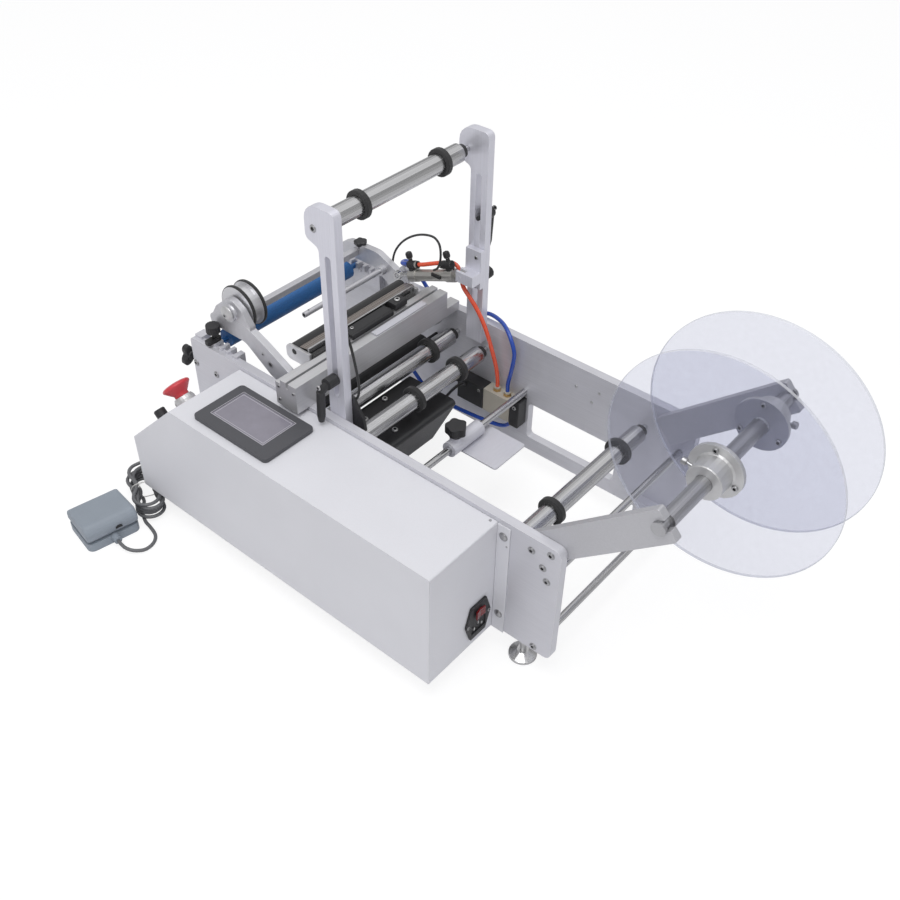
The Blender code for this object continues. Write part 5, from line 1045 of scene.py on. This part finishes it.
def make_front_knob():
    place = at(*FRONT_KNOB_PLACE)
    spun("front_knob_hub", FRONT_KNOB_HUB, place, -X, 24, "black_plastic", "frame")
    bm = bmesh.new()
    lobed_knob(bm, place, (Y, Z, -X), FRONT_KNOB, 3, 0.34, 72, turn=0.6)
    piece("front_knob", bm, "black_plastic", "frame", 40)


make_lever_screw("clamp_lever_near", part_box("clamp_lever_near")[0].y,
                 OFFSET.z + NEAR_LEVER_Z, -Y)
make_lever_screw("clamp_lever_far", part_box("clamp_lever_far")[1].y,
                 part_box("clamp_lever_far")[1].z - FAR_LEVER_DROP, Y)
make_front_knob()


# Guide rollers: black collars and dark end caps

COLLAR = ((0.0126, 0), (0.0172, 0), (0.0183, 0.0011), (0.0183, 0.0075), (0.0172, 0.0086),
          (0.0126, 0.0086))
COLLAR_HALF = 0.0043
END_CAP = ((0.0043, 0), (0.0082, 0), (0.0088, 0.0006), (0.0088, 0.0094), (0.0043, 0.0094))
NEAR_CAP_INSET = 0.0098
FAR_CAP_INSET = 0.0192
# The y of each roller's collars
ROLLER_COLLARS = {"top_roller": (), "rear_roller": (0.086, 0.229),
                  "upper_feed_roller": (0.229,), "lower_feed_roller": (0.140, 0.229)}


def make_roller_trim():
    for name, collars in ROLLER_COLLARS.items():
        low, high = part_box(name)
        centre = (low + high) / 2
        bm = bmesh.new()
        for y in collars:
            lathe(bm, COLLAR, (centre.x, OFFSET.y + y - COLLAR_HALF, centre.z), Y, 64,
                  loop=True)
        for y in (low.y + NEAR_CAP_INSET, high.y - FAR_CAP_INSET):
            lathe(bm, END_CAP, (centre.x, y, centre.z), Y, 40, loop=True)
        piece(name + "_trim", bm, "rubber", name)


make_roller_trim()


# Press cylinder: speed controllers and the reed sensor, placed along and above its axis

CYLINDER_START = (-0.2716, 0.262, 0.3058)
CYLINDER_WAY = Vector((-0.117, 0.0, -0.047)).normalized()
CYLINDER_ABOVE = Vector((CYLINDER_WAY.z, 0.0, -CYLINDER_WAY.x))
# Distance along the cylinder, direction and length of the controllers' bodies
CONTROLLERS = ((0.0127, 1, 0.0210), (0.0967, -1, 0.0180))
CONTROLLER_HEIGHT = 0.0155
CONTROLLER_KNOBS = (0.0184, 0.091)
KNOB_HEIGHT = 0.0158
KNOB_PROFILE = ((0.0, 0), (0.0040, 0), (0.0040, 0.0035), (0.0028, 0.0040), (0.0028, 0.0090),
                (0.0041, 0.0098), (0.0048, 0.0120), (0.0048, 0.0160), (0.0040, 0.0182),
                (0.0018, 0.0192), (0.0, 0.0192))
SEAT_HEIGHT = 0.0078
SEAT_PROFILE = ((0.0, 0), (0.0062, 0), (0.0062, 0.0040), (0.0, 0.0040))
REED_SENSOR_PLACE = (0.040, 0.0030)
REED_SENSOR_LOW = Vector((-0.008, -0.0108, -0.0025))
REED_SENSOR_HIGH = Vector((0.008, -0.0080, 0.0025))
REED_SENSOR_EDGE = 0.0006


def on_cylinder(distance, above=0.0):
    return at(*CYLINDER_START) + CYLINDER_WAY * distance + CYLINDER_ABOVE * above


def controller_body(length):
    return ((0.0, 0), (0.0050, 0), (0.0059, 0.0008), (0.0059, length - 0.004),
            (0.0052, length - 0.0035), (0.0052, length), (0.0034, length + 0.0004),
            (0.0, length + 0.0004))


def make_speed_controllers():
    bm = bmesh.new()
    for start, way, length in CONTROLLERS:
        lathe(bm, controller_body(length), on_cylinder(start, CONTROLLER_HEIGHT),
              CYLINDER_WAY * way, 32)
    for distance in CONTROLLER_KNOBS:
        lathe(bm, KNOB_PROFILE, on_cylinder(distance, KNOB_HEIGHT), CYLINDER_ABOVE, 28)
        lathe(bm, SEAT_PROFILE, on_cylinder(distance, SEAT_HEIGHT), CYLINDER_ABOVE, 6)
    piece("speed_controllers", bm, "black_plastic", "press_cylinder")
    bm = bmesh.new()
    middle = on_cylinder(*REED_SENSOR_PLACE)
    block(bm, middle + REED_SENSOR_LOW, middle + REED_SENSOR_HIGH)
    piece("reed_sensor", bm, "black_plastic", "press_cylinder",
          edge=REED_SENSOR_EDGE)


make_speed_controllers()


# Uprights: screws of the top roller and the cylinder's bracket, and the far lower knob

UPRIGHT_SCREW = (0.0048, 0.0012)
BRACKET_SCREW = (0.0030, 0.0012)
BRACKET_SCREWS = ((-0.2570, 0.2724, 0.3340), (-0.2570, 0.2724, 0.2990))
LOWER_KNOB_PLACE = (-0.2668, 0.2940, 0.2900)
LOWER_KNOB = ((0.003, 0), (0.003, 0.010), (0.0075, 0.0105), (0.0085, 0.012), (0.0085, 0.021),
              (0.0070, 0.0225), (0.0, 0.0225))


def make_upright_details():
    axle = middle_of("top_roller")
    near_y, far_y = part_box("upright_near")[0].y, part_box("upright_far")[1].y
    rows = [((axle.x, near_y, axle.z), -Y, UPRIGHT_SCREW),
            ((axle.x, far_y, axle.z), Y, UPRIGHT_SCREW)]
    rows += [(at(*place), -Y, BRACKET_SCREW) for place in BRACKET_SCREWS]
    screws("upright_screws", rows, "frame")
    spun("upright_lower_knob", LOWER_KNOB, at(*LOWER_KNOB_PLACE), Y, 10, "black_plastic",
         "frame")


make_upright_details()


# Valve: brass fittings, black coils, and screws

FITTING = ((0.0034, 0), (0.0060, 0), (0.0060, 0.0045), (0.0034, 0.0045))
FITTING_PLACES = ((-0.2190, 0.2837, 0.1264), (-0.2005, 0.2837, 0.1264))
COILS = (((-0.1886, 0.2735, 0.0845), (-0.1725, 0.2935, 0.1298)),
         ((-0.2838, 0.2725, 0.0885), (-0.2366, 0.2935, 0.1262)))
COIL_EDGE = 0.0012
COIL_SCREWS = (((-0.1800, 0.2735, 0.1190), (0.0032, 0.0012)),
               ((-0.2440, 0.2725, 0.1190), (0.0024, 0.0010)))


def make_valve_details():
    bm = bmesh.new()
    for place in FITTING_PLACES:
        lathe(bm, FITTING, at(*place), Z, 6, loop=True)
    piece("valve_fittings", bm, "brass", "frame")
    blocks("valve_coil", COILS, "black_plastic", COIL_EDGE)
    screws("valve_screws", [(at(*place), -Y, size) for place, size in COIL_SCREWS],
           "frame", BRIGHT_SCREW_LOOKS)


make_valve_details()


# Black cables of the valve and the near upright

VALVE_CABLE = ((-0.2700, 0.2740, 0.1160), (-0.2680, 0.2640, 0.1240), (-0.2660, 0.2480, 0.1290),
               (-0.2640, 0.2280, 0.1280), (-0.2620, 0.2080, 0.1220), (-0.2610, 0.1980, 0.1180))
VALVE_CABLE_RADIUS = 0.0021
UPRIGHT_CABLE = ((-0.2600, 0.0268, 0.3480), (-0.2525, 0.0280, 0.3280),
                 (-0.2470, 0.0295, 0.2980), (-0.2440, 0.0310, 0.2680),
                 (-0.2470, 0.0320, 0.2500), (-0.2540, 0.0322, 0.2380))
UPRIGHT_CABLE_RADIUS = 0.0018


def make_cables():
    for name, route, radius in (("valve_cable", VALVE_CABLE, VALVE_CABLE_RADIUS),
                                ("upright_cable", UPRIGHT_CABLE, UPRIGHT_CABLE_RADIUS)):
        tube_piece(name, route, radius, "rubber", "frame")


make_cables()


# Drive housing's screws, and the black bracket beside the near upright

BRACKET_OUTLINE = ((-0.2605, 0.2460), (-0.2490, 0.2490), (-0.2440, 0.2380),
                   (-0.2340, 0.2240), (-0.2310, 0.2040), (-0.2605, 0.1990))
BRACKET_NEAR_Y = 0.0248
BRACKET_FAR_Y = 0.0300
BRACKET_EDGE = 0.0010
BRACKET_HOLES = ((-0.2520, 0.2360), (-0.2400, 0.2130))
BRACKET_SCREW_SIZE = (0.0032, 0.0015)
HOUSING_SCREWS = ((-0.2950, 0.0900), (-0.3050, 0.1400), (-0.2500, 0.1000))
HOUSING_SCREW = (0.0042, 0.0022)


def make_housing_details():
    bm = bmesh.new()
    outline_block(bm, BRACKET_OUTLINE, BRACKET_NEAR_Y, BRACKET_FAR_Y)
    piece("sensor_bracket", bm, "black_steel", "frame", edge=BRACKET_EDGE)
    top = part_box("drive_housing")[1].z - OFFSET.z
    rows = [(at(x, BRACKET_FAR_Y, z), Y, BRACKET_SCREW_SIZE) for x, z in BRACKET_HOLES]
    rows += [(at(x, y, top), Z, HOUSING_SCREW) for x, y in HOUSING_SCREWS]
    screws("housing_screws", rows, "frame", BRIGHT_SCREW_LOOKS)


make_housing_details()


# Peel unit: near-black strips, nose, label sensor's cover, strip on the beam, and screws

NEAR_BLACK_STRIPS = (((-0.3396, 0.041, 0.2564), (-0.3314, 0.0797, 0.2640)),
               ((-0.3396, 0.1263, 0.2564), (-0.3314, 0.236, 0.2640)))
BEAM_END_SCREWS = ((-0.334, 0.251), (-0.308, 0.251), (-0.334, 0.231))
BEAM_END_SCREW = (0.0024, 0.0010)
SENSOR_STUDS = ((-0.3355, 0.0865), (-0.3355, 0.1195))
SENSOR_STUD = ((0.0022, 0), (0.0022, 0.0005), (0.0014, 0.0009), (0.0, 0.0009))
NOSE_OUTLINE = ((-0.3430, 0.2698), (-0.3430, 0.2716), (-0.3560, 0.2692), (-0.3566, 0.2682),
                (-0.3560, 0.2676))
SENSOR_COVERS = (((-0.3395, 0.1000, 0.2668), (-0.3235, 0.1790, 0.2700)),
                 ((-0.3395, 0.1860, 0.2642), (-0.3235, 0.2090, 0.2735)),
                 ((-0.3235, 0.1000, 0.2625), (-0.3205, 0.1790, 0.2700)))
COVER_SCREWS = (((-0.3340, 0.1120, 0.2700), (0.0026, 0.0012)),
                ((-0.3315, 0.1975, 0.2735), (0.0042, 0.0018)))
BEAM_STRIP = (((-0.3150, 0.1280, 0.2625), (-0.3045, 0.2280, 0.2642)),)
SOFT_EDGE = 0.0008
THIN_EDGE = 0.0004


def make_peel_details():
    blocks("near_black_ledge_strip", NEAR_BLACK_STRIPS, "felt", SOFT_EDGE)
    blocks("label_sensor_cover", SENSOR_COVERS, "black_plastic", SOFT_EDGE)
    blocks("beam_strip", BEAM_STRIP, "guide", THIN_EDGE)
    beam_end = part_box("peel_beam")[0].y - OFFSET.y
    sensor_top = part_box("label_sensor")[1].z - OFFSET.z
    bm = bmesh.new()
    for x, z in BEAM_END_SCREWS:
        socket_screw(bm, at(x, beam_end, z), -Y, *BEAM_END_SCREW)
    for x, y in SENSOR_STUDS:
        lathe(bm, SENSOR_STUD, at(x, y, sensor_top), Z, 16)
    piece("peel_beam_screws", bm, SCREW_LOOKS, "frame")
    low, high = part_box("peel_plate")
    bm = bmesh.new()
    outline_block(bm, NOSE_OUTLINE, low.y - OFFSET.y, high.y - OFFSET.y)
    # The nose's tan tint is a painted reflection on polished steel.
    piece("peel_nose", bm, "tan_steel", "frame")
    screws("label_sensor_screws", [(at(*place), Z, size) for place, size in COVER_SCREWS],
           "frame", BRIGHT_SCREW_LOOKS)


make_peel_details()


# Foot pedal: painted shade for the slot above its gland

PEDAL_TURN = math.radians(-11)
PEDAL_PLACE = (-0.533, -0.192, 0.0235)
SLOT_OUT = 0.0336
SLOT_SIDE = 0.0085
SLOT_HALF_WIDTH = 0.0050
SLOT_RISE = 0.0040
SLOT_DEPTH = (-0.0010, 0.0012)


def make_pedal_slot():
    turn = Matrix.Rotation(PEDAL_TURN, 3, "Z")
    out, side = turn @ X, turn @ Y
    centre = at(*PEDAL_PLACE) + out * SLOT_OUT + side * SLOT_SIDE
    outline = [side * SLOT_HALF_WIDTH * math.cos(a) + Z * SLOT_RISE * math.sin(a)
               for a in (math.pi * k / 16 for k in range(17))]
    bm = bmesh.new()
    # A thin near-black sheet of painted shade stands in for the slot.
    skin(bm, [[centre + point + out * lift for point in outline] for lift in SLOT_DEPTH])
    piece("pedal_slot", bm, "recess", "pedal_lid")


make_pedal_slot()


# Floor, light and background

FLOOR_HALF = 7.0
FLOOR_DROP = 0.0004
FLOOR_COLOUR = (0.86, 0.86, 0.87, 1)
FLOOR_GLOW = 1.13
GLOW_SHARE = 0.72
SKY_LIGHT = 0.61
SKY_COLOUR = (1.0, 1.0, 1.01, 1)
SKY_BLUE_GAIN = 1.01
# What metal reflects: the place from straight down to straight up, and its tone
SKY_TONES = ((0.0, 0.60), (0.18, 0.50), (0.34, 0.30), (0.46, 0.36), (0.62, 0.90), (1.0, 1.0))
LAMP_PLACE = (0.06, -0.60, 2.49)
LAMP_TARGET = (-0.2, 0.1, 0.1)
LAMP_SIZE = 1.8
LAMP_POWER = 29


def seen_directly(tree):
    """1 for what the camera sees, also through something clear."""
    path = tree.nodes.new("ShaderNodeLightPath")
    return maths(tree, "MAXIMUM", path.outputs["Is Camera Ray"],
                 path.outputs["Is Transmission Ray"])


def make_floor():
    """A pale floor that takes soft shadows and glows enough to look white."""
    bm = bmesh.new()
    bm.faces.new([bm.verts.new((x * FLOOR_HALF, y * FLOOR_HALF, -FLOOR_DROP))
                  for x, y in ((-1, -1), (1, -1), (1, 1), (-1, 1))])
    mesh = bpy.data.meshes.new("studio_floor")
    bm.to_mesh(mesh)
    bm.free()
    material = bpy.data.materials.new("studio_floor")
    material.use_nodes = True
    tree = material.node_tree
    tree.nodes.clear()
    diffuse = add_node(tree, "BsdfDiffuse", {"Color": FLOOR_COLOUR})
    glow = add_node(tree, "Emission", {"Strength": FLOOR_GLOW})
    share = maths(tree, "MULTIPLY", seen_directly(tree), GLOW_SHARE)
    add_node(tree, "OutputMaterial", {"Surface": mix_shaders(
        tree, share, diffuse.outputs[0], glow.outputs[0])})
    mesh.materials.append(material)
    floor = bpy.data.objects.new("studio_floor", mesh)
    bpy.context.scene.collection.objects.link(floor)


def make_world():
    """White behind everything; a soft sky with a darker band for the metal to reflect."""
    world = bpy.data.worlds.new("studio")
    bpy.context.scene.world = world
    world.use_nodes = True
    tree = world.node_tree
    tree.nodes.clear()
    way = tree.nodes.new("ShaderNodeTexCoord").outputs["Generated"]
    height = add_node(tree, "SeparateXYZ", {0: way}).outputs["Z"]
    ramp = add_node(tree, "ValToRGB", {0: height})
    stops = ramp.color_ramp.elements
    while len(stops) < len(SKY_TONES):
        stops.new(0.5)
    for stop, (place, tone) in zip(stops, SKY_TONES):
        stop.position = place
        stop.color = (tone, tone, tone * SKY_BLUE_GAIN, 1)
    soft = add_node(tree, "Background", {"Color": SKY_COLOUR, "Strength": SKY_LIGHT})
    shine = add_node(tree, "Background", {"Color": ramp.outputs["Color"]})
    white = add_node(tree, "Background", {"Color": (1, 1, 1, 1)})
    glossy = tree.nodes.new("ShaderNodeLightPath").outputs["Is Glossy Ray"]
    lit = mix_shaders(tree, glossy, soft.outputs[0], shine.outputs[0])
    shown = mix_shaders(tree, seen_directly(tree), lit, white.outputs[0])
    add_node(tree, "OutputWorld", {"Surface": shown})


def make_lamp():
    data = bpy.data.lights.new("key", "AREA")
    data.shape = "DISK"
    data.size = LAMP_SIZE
    data.energy = LAMP_POWER
    lamp = bpy.data.objects.new("key", data)
    lamp.location = at(*LAMP_PLACE)
    lamp.rotation_mode = "QUATERNION"
    aim = Vector(LAMP_TARGET) - Vector(LAMP_PLACE)
    lamp.rotation_quaternion = aim.to_track_quat("-Z", "Y")
    bpy.context.scene.collection.objects.link(lamp)


make_floor()
make_world()
make_lamp()
bpy.context.scene.view_settings.view_transform = "Standard"
